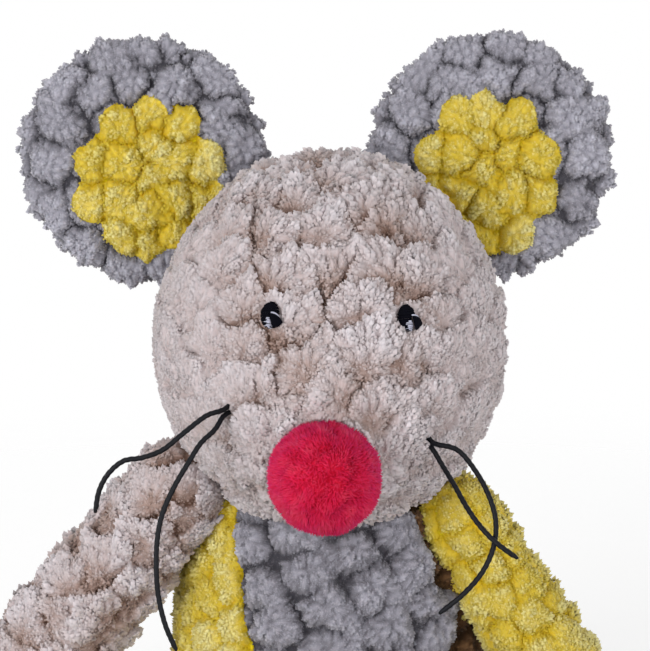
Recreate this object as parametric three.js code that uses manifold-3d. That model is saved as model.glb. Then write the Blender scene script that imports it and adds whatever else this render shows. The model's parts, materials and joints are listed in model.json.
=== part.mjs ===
// Stuffed plush mouse, a pet toy, sitting upright. Units are millimetres, +Z is up, the mouse faces -Y.
// Left and right are the mouse's own, so its right side lies towards -X.
import * as THREE from 'three';
import Module from 'manifold-3d';

const wasm = await Module();
wasm.setup();

// Cloth and play
const COVER = 3;
const GAP = 0.3;
const SOCKET_PLAY = 1;

// Head, a ball with a low snout
const HEAD_AT = new THREE.Vector3(0, -14, 127);
const HEAD_R = 46.5;
const HEAD_HALF_TALL = 50;
const HEAD_SIDES = 24;
const HEAD_ROWS = 16;
const LINING_SIDES = 12;
const LINING_ROWS = 8;
const SNOUT_RISE = 6;
const SNOUT_SPREAD = THREE.MathUtils.degToRad(44);
const NOSE_DROP = THREE.MathUtils.degToRad(24.5);
const NOSE_TURN = THREE.MathUtils.degToRad(1.2);
const NOSE_R = 14.3;
const NOSE_REACH = 58.8;
const HEAD_SEAM_Y = 16;
const NOD_DOWN = 10;
const NOD_UP = 20;

// Eyes, thin embroidered pads on the face
const EYE_WIDE = 5.2;
const EYE_TALL = 6.6;
const EYE_RISE = 1.6;
const EYE_OUT_RIGHT = 19;
const EYE_OUT_LEFT = 25.8;
const EYE_UP_RIGHT = 17.9;
const EYE_UP_LEFT = 16.6;
const GLINT_WIDE = 2.4;
const GLINT_TALL = 2.8;
const GLINT_RISE = 0.5;

// Whiskers, waxed cord, two through one hole in each cheek
const WHISKER_D = 1.3;
const WHISKER_SIDES = 8;
const WHISKER_STEP = 3.4;
const HOLE_R = 2.2;
const KNOT_R = 3;
const CHEEK_RIGHT = new THREE.Vector3(-24.6, -38, -9.9);
const CHEEK_LEFT = new THREE.Vector3(24, -35.2, -18.1);

// Ears, padded discs sewn into the seam of the head
const EAR_R = 32.5;
const EAR_THICK = 10;
const EAR_CLOTH = 2.6;
const EAR_LEAN_RIGHT = 46.9;
const EAR_LEAN_LEFT = 42.3;
const EAR_REACH_RIGHT = 22.8;
const EAR_REACH_LEFT = 19.2;
const EAR_SIDES = 24;
const EAR_LINING_SIDES = 12;
const EAR_FOLD = 25;
const LOBE_WIDE = 20.5;
const LOBE_TALL = 21.5;
const LOBE_DROP = 3.7;
const LOBE_SLIDE = 3.6;

// Torso
const BODY_RINGS = [
  { z: 0, wide: 31, deep: 29, y: 2 },
  { z: 6, wide: 38, deep: 36, y: 1.5 },
  { z: 18, wide: 41.5, deep: 38.5, y: 1 },
  { z: 36, wide: 42, deep: 38.5, y: 0.5 },
  { z: 56, wide: 40.5, deep: 36.5, y: 0 },
  { z: 74, wide: 38.5, deep: 33, y: 0 },
  { z: 88, wide: 35.5, deep: 28.5, y: 1 },
  { z: 98, wide: 29, deep: 22, y: 3 },
  { z: 103, wide: 20, deep: 15, y: 4 },
];
const BODY_SIDES = 24;
const SEAT_SEAM = 8;
const BELLY_SEAM_RIGHT = -32;
const BELLY_SEAM_LEFT = 57;
const BACK_SEAM = 128;
const SEAM_TWIST = 16;
const TWIST_FROM = 52;
const TWIST_TO = 80;
const STUFFING_SPLIT_Y = 2;

// Neck gusset, a ring of cloth under the head
const GUSSET_T = 2.4;
const GUSSET_IN = 6.4;
const GUSSET_OUT = 13;
const GUSSET_PLAY = 0.7;

// Sachet of dried catnip in the belly
const SACHET = new THREE.Vector3(19, 7, 16);
const SACHET_AT = new THREE.Vector3(0, STUFFING_SPLIT_Y, 40);
const SACHET_CLOTH = 0.9;

// Arms
const LIMB_SIDES = 14;
const LIMB_LINING_SIDES = 8;
const SHOULDER_RIGHT = new THREE.Vector3(-40.6, -17, 87.2);
const SHOULDER_LEFT = new THREE.Vector3(34, -17.5, 80.6);
const ARM_ROOT_R = 13.9;
const ARM_ROWS = [[13, 13.4], [28, 14.3], [44, 15]];
const ARM_LENGTH = 56;
const ARM_END_R = 15;
const ARM_SLIM_LEFT = 0.77;
const ARM_DROOP_RIGHT = 38.5;
const ARM_DROOP_LEFT = 32;
const ARM_LOWEST = 16;
const ARM_HIGHEST = 75;

// Legs
const HIP = new THREE.Vector3(23, -31, 14.5);
const LEG_ROOT_R = 12;
const LEG_ROWS = [[14, 13.4], [30, 14.4], [44, 16]];
const LEG_LENGTH = 54;
const LEG_END_R = 16.6;
const LEG_SPLAY = 13;
const LEG_UP = 30;
const LEG_DOWN = -25;

// Tail, lying on the floor in a bow
const TAIL_AT = new THREE.Vector3(0, 39, 7.5);
const TAIL_ROOT_R = 7;
const TAIL_TIP_R = 4.2;
const TAIL_CLOTH = 2;
const TAIL_SIDES = 8;
const TAIL_LINING_SIDES = 6;
const TAIL_FLAT = 0.5;

const DEG = Math.PI / 180;
const FAR = 400;

// Helpers that turn geometry into closed solids and back
function solidOf(geometry) {
  const source = geometry.index ? geometry.toNonIndexed() : geometry;
  const position = source.getAttribute('position');
  const seen = new Map();
  const points = [];
  const corners = [];
  for (let i = 0; i < position.count; i++) {
    const p = [position.getX(i), position.getY(i), position.getZ(i)];
    const key = p.map((v) => Math.round(v * 2000)).join(',');
    if (!seen.has(key)) {
      seen.set(key, points.length / 3);
      points.push(...p);
    }
    corners.push(seen.get(key));
  }
  const triangles = [];
  let volume = 0;
  const at = (k) => new THREE.Vector3(points[3 * k], points[3 * k + 1], points[3 * k + 2]);
  for (let i = 0; i < corners.length; i += 3) {
    const [a, b, c] = corners.slice(i, i + 3);
    if (a === b || b === c || c === a) continue;
    triangles.push(a, b, c);
    volume += at(a).dot(at(b).cross(at(c)));
  }
  if (volume < 0) {
    for (let i = 0; i < triangles.length; i += 3) {
      [triangles[i], triangles[i + 1]] = [triangles[i + 1], triangles[i]];
    }
  }
  return new wasm.Manifold(new wasm.Mesh({
    numProp: 3,
    vertProperties: new Float32Array(points),
    triVerts: new Uint32Array(triangles),
  }));
}

function geometryOf(solid) {
  const mesh = solid.getMesh();
  const geometry = new THREE.BufferGeometry();
  geometry.setAttribute('position', new THREE.BufferAttribute(new Float32Array(mesh.vertProperties), 3));
  geometry.setIndex(new THREE.BufferAttribute(new Uint32Array(mesh.triVerts), 1));
  geometry.computeVertexNormals();
  return geometry;
}

function cloth(colour, roughness = 0.95) {
  return new THREE.MeshStandardMaterial({ color: colour, roughness, metalness: 0 });
}

function add(group, name, solid, material) {
  const mesh = new THREE.Mesh(geometryOf(solid), material);
  mesh.name = name;
  group.add(mesh);
}

function groupAt(parent, name, position) {
  const group = new THREE.Group();
  group.name = name;
  group.position.copy(position);
  parent.add(group);
  return group;
}

// Rings of points joined into a skin, closed at both ends by a middle point
function skin(rings, first, last) {
  const sides = rings[0].length;
  const points = [first, ...rings.flat(), last];
  const end = points.length - 1;
  const index = [];
  const corner = (row, side) => 1 + row * sides + (side % sides);
  for (let side = 0; side < sides; side++) {
    index.push(0, corner(0, side + 1), corner(0, side));
    index.push(end, corner(rings.length - 1, side), corner(rings.length - 1, side + 1));
    for (let row = 0; row + 1 < rings.length; row++) {
      index.push(corner(row, side), corner(row, side + 1), corner(row + 1, side));
      index.push(corner(row, side + 1), corner(row + 1, side + 1), corner(row + 1, side));
    }
  }
  const geometry = new THREE.BufferGeometry().setFromPoints(points);
  geometry.setIndex(index);
  return geometry;
}

function box(x0, x1, y0, y1, z0, z1) {
  const geometry = new THREE.BoxGeometry(x1 - x0, y1 - y0, z1 - z0);
  geometry.translate((x0 + x1) / 2, (y0 + y1) / 2, (z0 + z1) / 2);
  return solidOf(geometry);
}

const front = (y) => box(-FAR, FAR, -FAR, y, -FAR, FAR);
const behind = (y) => box(-FAR, FAR, y, FAR, -FAR, FAR);
const above = (z) => box(-FAR, FAR, -FAR, FAR, z, FAR);
const below = (z) => box(-FAR, FAR, -FAR, FAR, -FAR, z);

function ballGeometry(radius, sides, rows) {
  return new THREE.SphereGeometry(radius, sides, rows).rotateX(Math.PI / 2);
}

function ball(centre, radius, sides = 14, rows = 8) {
  return solidOf(ballGeometry(radius, sides, rows).translate(centre.x, centre.y, centre.z));
}

// How far the torso's seams have turned, in degrees, at a height
function seamTurn(z) {
  const share = THREE.MathUtils.smoothstep(z, TWIST_FROM, TWIST_TO);
  return -SEAM_TWIST * share;
}

// A wedge of space around the torso's upright axis, angles from -Y towards +X in degrees, turned as the seams are
function wedge(from, to) {
  const reach = 120;
  const shape = new THREE.Shape();
  shape.moveTo(0, 0);
  const steps = 6;
  for (let i = 0; i <= steps; i++) {
    const a = (from + (to - from) * i / steps) * DEG;
    shape.lineTo(reach * Math.sin(a), -reach * Math.cos(a));
  }
  shape.closePath();
  const levels = Math.round(FAR / 7);
  const geometry = new THREE.ExtrudeGeometry(shape, { depth: FAR, steps: levels, bevelEnabled: false });
  const place = geometry.attributes.position;
  const point = new THREE.Vector3();
  const up = new THREE.Vector3(0, 0, 1);
  for (let i = 0; i < place.count; i++) {
    point.fromBufferAttribute(place, i).applyAxisAngle(up, seamTurn(place.getZ(i)) * DEG);
    place.setXYZ(i, point.x, point.y, point.z);
  }
  return solidOf(geometry);
}

// The head ball with its snout, in the head's own frame
const noseWay = new THREE.Vector3(0, -Math.cos(NOSE_DROP), -Math.sin(NOSE_DROP));
noseWay.applyAxisAngle(new THREE.Vector3(0, 0, 1), -NOSE_TURN);

function headReach(way) {
  const angle = way.angleTo(noseWay);
  const swell = angle < SNOUT_SPREAD ? Math.cos(angle / SNOUT_SPREAD * Math.PI / 2) ** 2 : 0;
  const { x, y, z } = way.clone().normalize();
  const egg = 1 / Math.hypot(x / HEAD_R, y / HEAD_R, z / HEAD_HALF_TALL);
  return egg + SNOUT_RISE * swell;
}

function headGeometry(offset, sides = HEAD_SIDES, rows = HEAD_ROWS) {
  const geometry = ballGeometry(1, sides, rows);
  const position = geometry.getAttribute('position');
  const p = new THREE.Vector3();
  for (let i = 0; i < position.count; i++) {
    p.fromBufferAttribute(position, i);
    p.setLength(headReach(p) + offset);
    position.setXYZ(i, p.x, p.y, p.z);
  }
  return geometry;
}

// The torso, swelling at the seat and narrowing to the shoulders
function bodyGeometry(offset, sides = BODY_SIDES) {
  const lowest = BODY_RINGS[0];
  const highest = BODY_RINGS[BODY_RINGS.length - 1];
  const rings = BODY_RINGS.map((ring) => {
    const z = THREE.MathUtils.clamp(ring.z, lowest.z - offset, highest.z + offset);
    const row = [];
    for (let i = 0; i < sides; i++) {
      const a = 2 * Math.PI * (i + 0.5) / sides;
      row.push(new THREE.Vector3(
        (ring.wide + offset) * Math.sin(a),
        ring.y - (ring.deep + offset) * Math.cos(a),
        z,
      ));
    }
    return row;
  });
  return skin(
    rings,
    new THREE.Vector3(0, lowest.y, lowest.z - offset),
    new THREE.Vector3(0, highest.y, highest.z + offset + 2),
  );
}

// A stuffed limb along local -Z: a ball at the root, a swelling middle and a round end
function limbGeometry(rootR, rows, length, endR, offset) {
  const sides = offset < 0 ? LIMB_LINING_SIDES : LIMB_SIDES;
  const outline = [];
  const r0 = rootR + offset;
  const r1 = endR + offset;
  for (const a of [65, 40, 15]) {
    outline.push([-r0 * Math.sin(a * DEG), r0 * Math.cos(a * DEG)]);
  }
  for (const [s, r] of rows) {
    outline.push([s, r + offset]);
  }
  for (const a of [8, 34, 62]) {
    outline.push([length + r1 * Math.sin(a * DEG), r1 * Math.cos(a * DEG)]);
  }
  const rings = outline.map(([s, r]) => {
    const row = [];
    for (let i = 0; i < sides; i++) {
      const a = 2 * Math.PI * (i + 0.5) / sides;
      row.push(new THREE.Vector3(r * Math.cos(a), r * Math.sin(a), -s));
    }
    return row;
  });
  return skin(rings, new THREE.Vector3(0, 0, r0), new THREE.Vector3(0, 0, -length - r1));
}

// Colours of the plush, the pompom and the threads
const beige = cloth('#b8abab');
const grey = cloth('#828089');
const yellow = cloth('#c4ae4c');
const tan = cloth('#8f7866');
const red = cloth('#c31d3b');
const black = cloth('#1b1c22', 0.55);
const waxed = cloth('#23252b', 0.5);
const white = cloth('#cfcfda', 0.6);
const fibre = cloth('#ecebe6');
const calico = cloth('#d9cfb8');
const herb = cloth('#6f7a45');
const tape = cloth('#a99c9a');

const part = new THREE.Group();
part.name = 'plush_mouse';

// Head
const head = groupAt(part, 'head', HEAD_AT);
const headOuter = solidOf(headGeometry(0));
const headLining = (offset) => solidOf(headGeometry(offset, LINING_SIDES, LINING_ROWS));
const headShell = headOuter.subtract(headLining(-COVER));
const headFront = headShell.intersect(front(HEAD_SEAM_Y - GAP / 2));
const cheeks = [['right', CHEEK_RIGHT], ['left', CHEEK_LEFT]];
const holes = cheeks.map(([, cheek]) => {
  const drill = new THREE.CylinderGeometry(HOLE_R, HOLE_R, 2 * COVER + 4, 8);
  const way = cheek.clone().normalize();
  drill.applyQuaternion(new THREE.Quaternion().setFromUnitVectors(new THREE.Vector3(0, 1, 0), way));
  const middle = way.multiplyScalar(headReach(cheek));
  return solidOf(drill.translate(middle.x, middle.y, middle.z));
});
const face = headFront.subtract(holes[0]).subtract(holes[1]);
add(head, 'face_right', face.intersect(box(-FAR, -GAP / 2, -FAR, FAR, -FAR, FAR)), beige);
add(head, 'face_left', face.intersect(box(GAP / 2, FAR, -FAR, FAR, -FAR, FAR)), beige);
add(head, 'head_back', headShell.intersect(behind(HEAD_SEAM_Y + GAP / 2)), beige);

// Whisker knots lie between the cheek cloth and the stuffing
let headStuffing = headLining(-COVER - GAP);
cheeks.forEach(([side, cheek], i) => {
  const at = cheek.clone().setLength(headReach(cheek) - COVER - 2 * GAP - KNOT_R);
  headStuffing = headStuffing.subtract(ball(at, KNOT_R + GAP, 8, 6)).subtract(holes[i]);
  add(head, `whisker_knot_${side}`, ball(at, KNOT_R, 8, 6), waxed);
});
add(head, 'head_stuffing', headStuffing, fibre);

// Nose pompom, seated on the snout
const noseBall = ball(noseWay.clone().multiplyScalar(NOSE_REACH), NOSE_R, 16, 10);
add(head, 'nose_pompom', noseBall.subtract(solidOf(headGeometry(GAP))), red);

// Eyes, each a pad of black stitches with a pale one on top
function pad(wide, tall, rise, centre, way) {
  const geometry = ballGeometry(1, 10, 6).scale(wide / 2, rise, tall / 2);
  const level = new THREE.Object3D();
  level.position.copy(centre);
  level.up.set(0, 0, 1);
  level.lookAt(centre.clone().add(way));
  level.updateMatrix();
  return solidOf(geometry.rotateX(Math.PI / 2).applyMatrix4(level.matrix));
}

for (const [side, turn, rise] of [['right', -EYE_OUT_RIGHT, EYE_UP_RIGHT], ['left', EYE_OUT_LEFT, EYE_UP_LEFT]]) {
  const up = rise * DEG;
  const way = new THREE.Vector3(
    Math.sin(turn * DEG) * Math.cos(up),
    -Math.cos(turn * DEG) * Math.cos(up),
    Math.sin(up),
  );
  const centre = way.clone().multiplyScalar(headReach(way) - GAP);
  const across = new THREE.Vector3(0, 0, 1).cross(way).normalize();
  const eye = pad(EYE_WIDE, EYE_TALL, EYE_RISE, centre, way).subtract(solidOf(headGeometry(GAP)));
  const glintAt = centre.clone().addScaledVector(across, -0.5).addScaledVector(way, EYE_RISE - 0.1);
  glintAt.z -= 1.5;
  const room = pad(EYE_WIDE + 2 * GAP, EYE_TALL + 2 * GAP, EYE_RISE + GAP, centre, way);
  const glint = pad(GLINT_WIDE, GLINT_TALL, GLINT_RISE + GAP, glintAt, way).subtract(room);
  add(head, `eye_${side}`, eye, black);
  add(head, `eye_glint_${side}`, glint, white);
}

// Whiskers, points in the head's frame
function whisker(name, cheek, shift, points) {
  const way = cheek.clone().normalize();
  const side = new THREE.Vector3(0, 0, 1).cross(way).normalize();
  const lift = way.clone().cross(side).normalize();
  const offset = lift.multiplyScalar(shift * (WHISKER_D / 2 + GAP / 2 + 0.03));
  const path = new THREE.CatmullRomCurve3([
    ...[-COVER, -0.5, 2.5].map((rise) => way.clone().multiplyScalar(headReach(way) + rise).add(offset)),
    ...points.map((p) => new THREE.Vector3(...p)),
  ], false, 'centripetal');
  const steps = Math.round(path.getLength() / WHISKER_STEP);
  const shape = new THREE.Shape();
  for (let i = 0; i < WHISKER_SIDES; i++) {
    const a = 2 * Math.PI * i / WHISKER_SIDES;
    const x = WHISKER_D / 2 * Math.cos(a);
    const y = WHISKER_D / 2 * Math.sin(a);
    if (i === 0) shape.moveTo(x, y);
    else shape.lineTo(x, y);
  }
  shape.closePath();
  const geometry = new THREE.ExtrudeGeometry(shape, { extrudePath: path, steps, bevelEnabled: false });
  add(head, name, solidOf(geometry), waxed);
}

whisker('whisker_right_upper', CHEEK_RIGHT, 1, [
  [-30.5, -44.4, -10.6],
  [-36, -46.8, -14.4],
  [-41.5, -48.2, -18.6],
  [-46.5, -48.6, -20.4],
  [-51, -48.6, -21.2],
  [-54.8, -48.6, -24.4],
  [-57.2, -48.4, -28.8],
  [-58.3, -48.4, -34.4],
]);
whisker('whisker_right_lower', CHEEK_RIGHT, -1, [
  [-28.6, -45, -14.2],
  [-31.8, -47.6, -16.8],
  [-35, -49.6, -21.6],
  [-38.6, -51.3, -27.6],
  [-41.3, -52.9, -33.8],
  [-42.5, -54.5, -40],
  [-42.7, -55.7, -46.8],
  [-42.3, -56.3, -53.2],
  [-40.6, -57.1, -60.7],
  [-37.9, -57.3, -67.3],
]);
whisker('whisker_left_long', CHEEK_LEFT, 1, [
  [32, -42.4, -19.8],
  [36.4, -46.8, -24.2],
  [39.4, -50.6, -29.3],
  [41.1, -52.6, -34.9],
  [40.7, -54.7, -40.9],
  [38, -55.8, -47.3],
  [33.3, -56.8, -52.8],
  [27.2, -56.7, -58],
]);
whisker('whisker_left_short', CHEEK_LEFT, -1, [
  [28.6, -41.2, -24.4],
  [31.2, -46, -28],
  [34, -50.6, -32.4],
  [37, -53.8, -36.2],
  [40.6, -56, -39.7],
  [44.1, -57.2, -42.2],
  [46.3, -57.6, -43.6],
]);

// Ears, in a frame with +Z outward from the head and the fold along X
function earRoot(lean) {
  const share = 1 - (HEAD_SEAM_Y / HEAD_R) ** 2;
  const sideways = Math.sin(lean * DEG) / HEAD_R;
  const upwards = Math.cos(lean * DEG) / HEAD_HALF_TALL;
  const reach = Math.sqrt(share) / Math.hypot(sideways, upwards) + GAP;
  return new THREE.Vector3(Math.sin(lean * DEG) * reach, HEAD_SEAM_Y, Math.cos(lean * DEG) * reach);
}

function earGeometry(reach, offset) {
  const sides = offset < 0 ? EAR_LINING_SIDES : EAR_SIDES;
  const rim = EAR_THICK / 2 * 0.72;
  const outline = [
    [EAR_R * 0.72, EAR_THICK / 2],
    [EAR_R - rim * 0.45, rim * 0.82],
    [EAR_R, 0],
  ];
  const upper = outline.map(([r, y]) => [r + offset, y === 0 ? 0 : y + offset]);
  const lower = upper.slice(0, -1).reverse().map(([r, y]) => [r, -y]);
  const rings = [...upper, ...lower].map(([r, y]) => {
    const row = [];
    for (let i = 0; i < sides; i++) {
      const a = 2 * Math.PI * (i + 0.5) / sides;
      row.push(new THREE.Vector3(r * Math.cos(a), y, reach + r * Math.sin(a)));
    }
    return row;
  });
  const middle = EAR_THICK / 2 + offset;
  return skin(rings, new THREE.Vector3(0, middle, reach), new THREE.Vector3(0, -middle, reach));
}

function headInEar(ear, lean, fold) {
  const geometry = headGeometry(2 * GAP).translate(-ear.position.x, -ear.position.y, -ear.position.z);
  return solidOf(geometry.rotateY(-lean * DEG).rotateX(-fold * DEG));
}

function lobe(reach, slide, offset) {
  const shape = new THREE.Shape();
  shape.absellipse(0, 0, LOBE_WIDE + offset, LOBE_TALL + offset, 0, 2 * Math.PI, false, 0);
  const geometry = new THREE.ExtrudeGeometry(shape, { depth: EAR_THICK * 2, bevelEnabled: false, curveSegments: 16 });
  return solidOf(geometry.rotateX(Math.PI / 2).translate(slide, EAR_THICK, reach - LOBE_DROP));
}

for (const [side, lean, reach, slide] of [
  ['right', -EAR_LEAN_RIGHT, EAR_REACH_RIGHT, -LOBE_SLIDE],
  ['left', EAR_LEAN_LEFT, EAR_REACH_LEFT, LOBE_SLIDE],
]) {
  const ear = groupAt(head, `ear_${side}`, earRoot(lean));
  ear.rotation.y = lean * DEG;
  const sweep = [-EAR_FOLD, 0, EAR_FOLD];
  const clear = (solid) => sweep.reduce((left, fold) => left.subtract(headInEar(ear, lean, fold)), solid);
  const disc = (offset) => solidOf(earGeometry(reach, offset));
  const shell = clear(disc(0).subtract(disc(-EAR_CLOTH)));
  const facing = shell.intersect(front(-GAP / 2));
  add(ear, `ear_back_${side}`, shell.intersect(behind(GAP / 2)), grey);
  add(ear, `ear_rim_${side}`, facing.subtract(lobe(reach, slide, GAP)), grey);
  add(ear, `ear_inner_${side}`, facing.intersect(lobe(reach, slide, 0)), yellow);
  add(ear, `ear_wadding_${side}`, clear(disc(-EAR_CLOTH - GAP)), fibre);
}

// Spaces in the torso: head cup, gusset, shoulders, hips and tail root
function gussetGeometry(play) {
  const inner = GUSSET_PLAY - play;
  const outer = GUSSET_PLAY + GUSSET_T + play;
  const profile = [];
  const depthAt = (rise, r) => -(HEAD_HALF_TALL + rise) * Math.sqrt(1 - (r / (HEAD_R + rise)) ** 2);
  const from = GUSSET_IN - play;
  const to = GUSSET_OUT + play;
  for (const r of [from, (from + to) / 2, to]) profile.push(new THREE.Vector2(r, depthAt(outer, r)));
  for (const r of [to, (from + to) / 2, from]) profile.push(new THREE.Vector2(r, depthAt(inner, r)));
  profile.push(profile[0].clone());
  return new THREE.LatheGeometry(profile, LINING_SIDES).rotateX(Math.PI / 2);
}

function hipAt(sign) {
  return new THREE.Vector3(sign * HIP.x, HIP.y, HIP.z);
}

const moved = (geometry, at) => solidOf(geometry.translate(at.x, at.y, at.z));
const nodded = headGeometry(SOCKET_PLAY).rotateX(NOD_DOWN * DEG);
const rooms = [
  moved(headGeometry(SOCKET_PLAY), HEAD_AT),
  moved(nodded, HEAD_AT),
  moved(gussetGeometry(GAP), HEAD_AT),
  ball(SHOULDER_LEFT, ARM_ROOT_R * ARM_SLIM_LEFT + SOCKET_PLAY),
  ball(SHOULDER_RIGHT, ARM_ROOT_R + SOCKET_PLAY),
  ball(hipAt(1), LEG_ROOT_R + SOCKET_PLAY),
  ball(hipAt(-1), LEG_ROOT_R + SOCKET_PLAY),
  ball(TAIL_AT, TAIL_ROOT_R + SOCKET_PLAY),
];
const hollowed = (solid) => rooms.reduce((left, room) => left.subtract(room), solid);

// Torso covers and filling
const torso = groupAt(part, 'torso', new THREE.Vector3());
const bodyLining = (offset) => solidOf(bodyGeometry(offset, BODY_SIDES / 2));
const bodyShell = hollowed(solidOf(bodyGeometry(0)).subtract(bodyLining(-COVER)));
const walls = bodyShell.intersect(above(SEAT_SEAM + GAP / 2));
const turnGap = 0.22;
const panel = (from, to) => walls.intersect(wedge(from + turnGap, to - turnGap));
add(torso, 'belly_panel', panel(BELLY_SEAM_RIGHT, BELLY_SEAM_LEFT), grey);
add(torso, 'side_panel_left', panel(BELLY_SEAM_LEFT, BACK_SEAM), tan);
add(torso, 'back_panel', panel(BACK_SEAM, 360 - BACK_SEAM), grey);
add(torso, 'side_panel_right', panel(360 - BACK_SEAM, 360 + BELLY_SEAM_RIGHT), yellow);
add(torso, 'seat_panel', bodyShell.intersect(below(SEAT_SEAM - GAP / 2)), grey);

function sachetSolid(offset) {
  const geometry = ballGeometry(1, 12, 6).scale(SACHET.x + offset, SACHET.y + offset, SACHET.z + offset);
  return moved(geometry, SACHET_AT);
}

const cup = moved(headGeometry(GUSSET_PLAY + GUSSET_T + 2 * SOCKET_PLAY, LINING_SIDES, LINING_ROWS), HEAD_AT);
const roots = rooms.slice(3).reduce((left, room) => left.subtract(room), bodyLining(-COVER - GAP).subtract(cup));
const filling = roots.subtract(sachetSolid(GAP));
add(torso, 'body_stuffing_front', filling.intersect(front(STUFFING_SPLIT_Y - GAP / 2)), fibre);
add(torso, 'body_stuffing_back', filling.intersect(behind(STUFFING_SPLIT_Y + GAP / 2)), fibre);
const sachetCloth = sachetSolid(0).subtract(sachetSolid(-SACHET_CLOTH));
add(torso, 'sachet_front', sachetCloth.intersect(front(STUFFING_SPLIT_Y - GAP / 2)), calico);
add(torso, 'sachet_back', sachetCloth.intersect(behind(STUFFING_SPLIT_Y + GAP / 2)), calico);
add(torso, 'dried_catnip', sachetSolid(-SACHET_CLOTH - GAP), herb);

// Neck gusset, turning with the head
const neck = groupAt(part, 'neck', HEAD_AT);
add(neck, 'neck_gusset', solidOf(gussetGeometry(0)), tape);

// Arms, hanging along local -Z and leaning out at the shoulder
for (const [side, sign, shoulder, slim, droop, material] of [
  ['right', -1, SHOULDER_RIGHT, 1, ARM_DROOP_RIGHT, beige],
  ['left', 1, SHOULDER_LEFT, ARM_SLIM_LEFT, ARM_DROOP_LEFT, yellow],
]) {
  const arm = groupAt(part, `arm_${side}`, shoulder);
  arm.rotation.y = -sign * droop * DEG;
  const turned = (geometry, lift) => solidOf(geometry.rotateY(sign * lift * DEG));
  const torsoInArm = (lift) => {
    const geometry = bodyGeometry(GAP).translate(-shoulder.x, -shoulder.y, -shoulder.z);
    const hollow = ballGeometry(ARM_ROOT_R * slim + SOCKET_PLAY - GAP, 14, 8);
    return turned(geometry, lift).subtract(turned(hollow, lift));
  };
  const headInArm = (lift, nod) => {
    const from = HEAD_AT.clone().sub(shoulder);
    const geometry = headGeometry(SOCKET_PLAY).rotateX(nod * DEG);
    return turned(geometry.translate(from.x, from.y, from.z), lift);
  };
  const lifts = [ARM_LOWEST, (ARM_LOWEST + ARM_HIGHEST) / 2, ARM_HIGHEST];
  const inTheWay = lifts.flatMap((lift) => [torsoInArm(lift), headInArm(lift, 0), headInArm(lift, NOD_DOWN)]);
  const clear = (solid) => inTheWay.reduce((left, other) => left.subtract(other), solid);
  const rows = ARM_ROWS.map(([s, r]) => [s, r * slim]);
  const limb = (offset) => solidOf(limbGeometry(ARM_ROOT_R * slim, rows, ARM_LENGTH, ARM_END_R * slim, offset));
  const shell = clear(limb(0).subtract(limb(-COVER)));
  add(arm, `arm_front_${side}`, shell.intersect(front(-GAP / 2)), material);
  add(arm, `arm_rear_${side}`, shell.intersect(behind(GAP / 2)), material);
  add(arm, `arm_stuffing_${side}`, clear(limb(-COVER - GAP)), fibre);
}

// Legs, lying forward on the floor along local -Y
for (const [side, sign, material] of [['right', -1, yellow], ['left', 1, beige]]) {
  const leg = groupAt(part, `leg_${side}`, hipAt(sign));
  leg.rotation.z = sign * LEG_SPLAY * DEG;
  const torsoInLeg = (lift) => {
    const geometry = bodyGeometry(GAP).translate(-leg.position.x, -leg.position.y, -leg.position.z);
    const hollow = ballGeometry(LEG_ROOT_R + SOCKET_PLAY - GAP, 14, 8);
    const turned = (piece) => solidOf(piece.rotateZ(-sign * LEG_SPLAY * DEG).rotateX(lift * DEG));
    return turned(geometry).subtract(turned(hollow));
  };
  const lifts = [LEG_DOWN, 0, LEG_UP / 2, LEG_UP];
  const clear = (solid) => lifts.reduce((left, lift) => left.subtract(torsoInLeg(lift)), solid);
  const limb = (offset) => {
    const geometry = limbGeometry(LEG_ROOT_R, LEG_ROWS, LEG_LENGTH, LEG_END_R, offset);
    return solidOf(geometry.rotateX(-Math.PI / 2)).intersect(above(-HIP.z - Math.min(offset, 0)));
  };
  const shell = clear(limb(0).subtract(limb(-COVER)));
  add(leg, `leg_top_${side}`, shell.intersect(above(GAP / 2)), material);
  add(leg, `leg_under_${side}`, shell.intersect(below(-GAP / 2)), material);
  add(leg, `leg_stuffing_${side}`, clear(limb(-COVER - GAP)), fibre);
}

// Tail, a tapering tube bowed to the mouse's left
const tailPath = new THREE.CatmullRomCurve3([
  new THREE.Vector3(0, 0, 0),
  new THREE.Vector3(2, 18, 0),
  new THREE.Vector3(12, 34, 0),
  new THREE.Vector3(30, 43, 0),
  new THREE.Vector3(50, 42, 0),
  new THREE.Vector3(66, 33, 0),
]);

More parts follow.
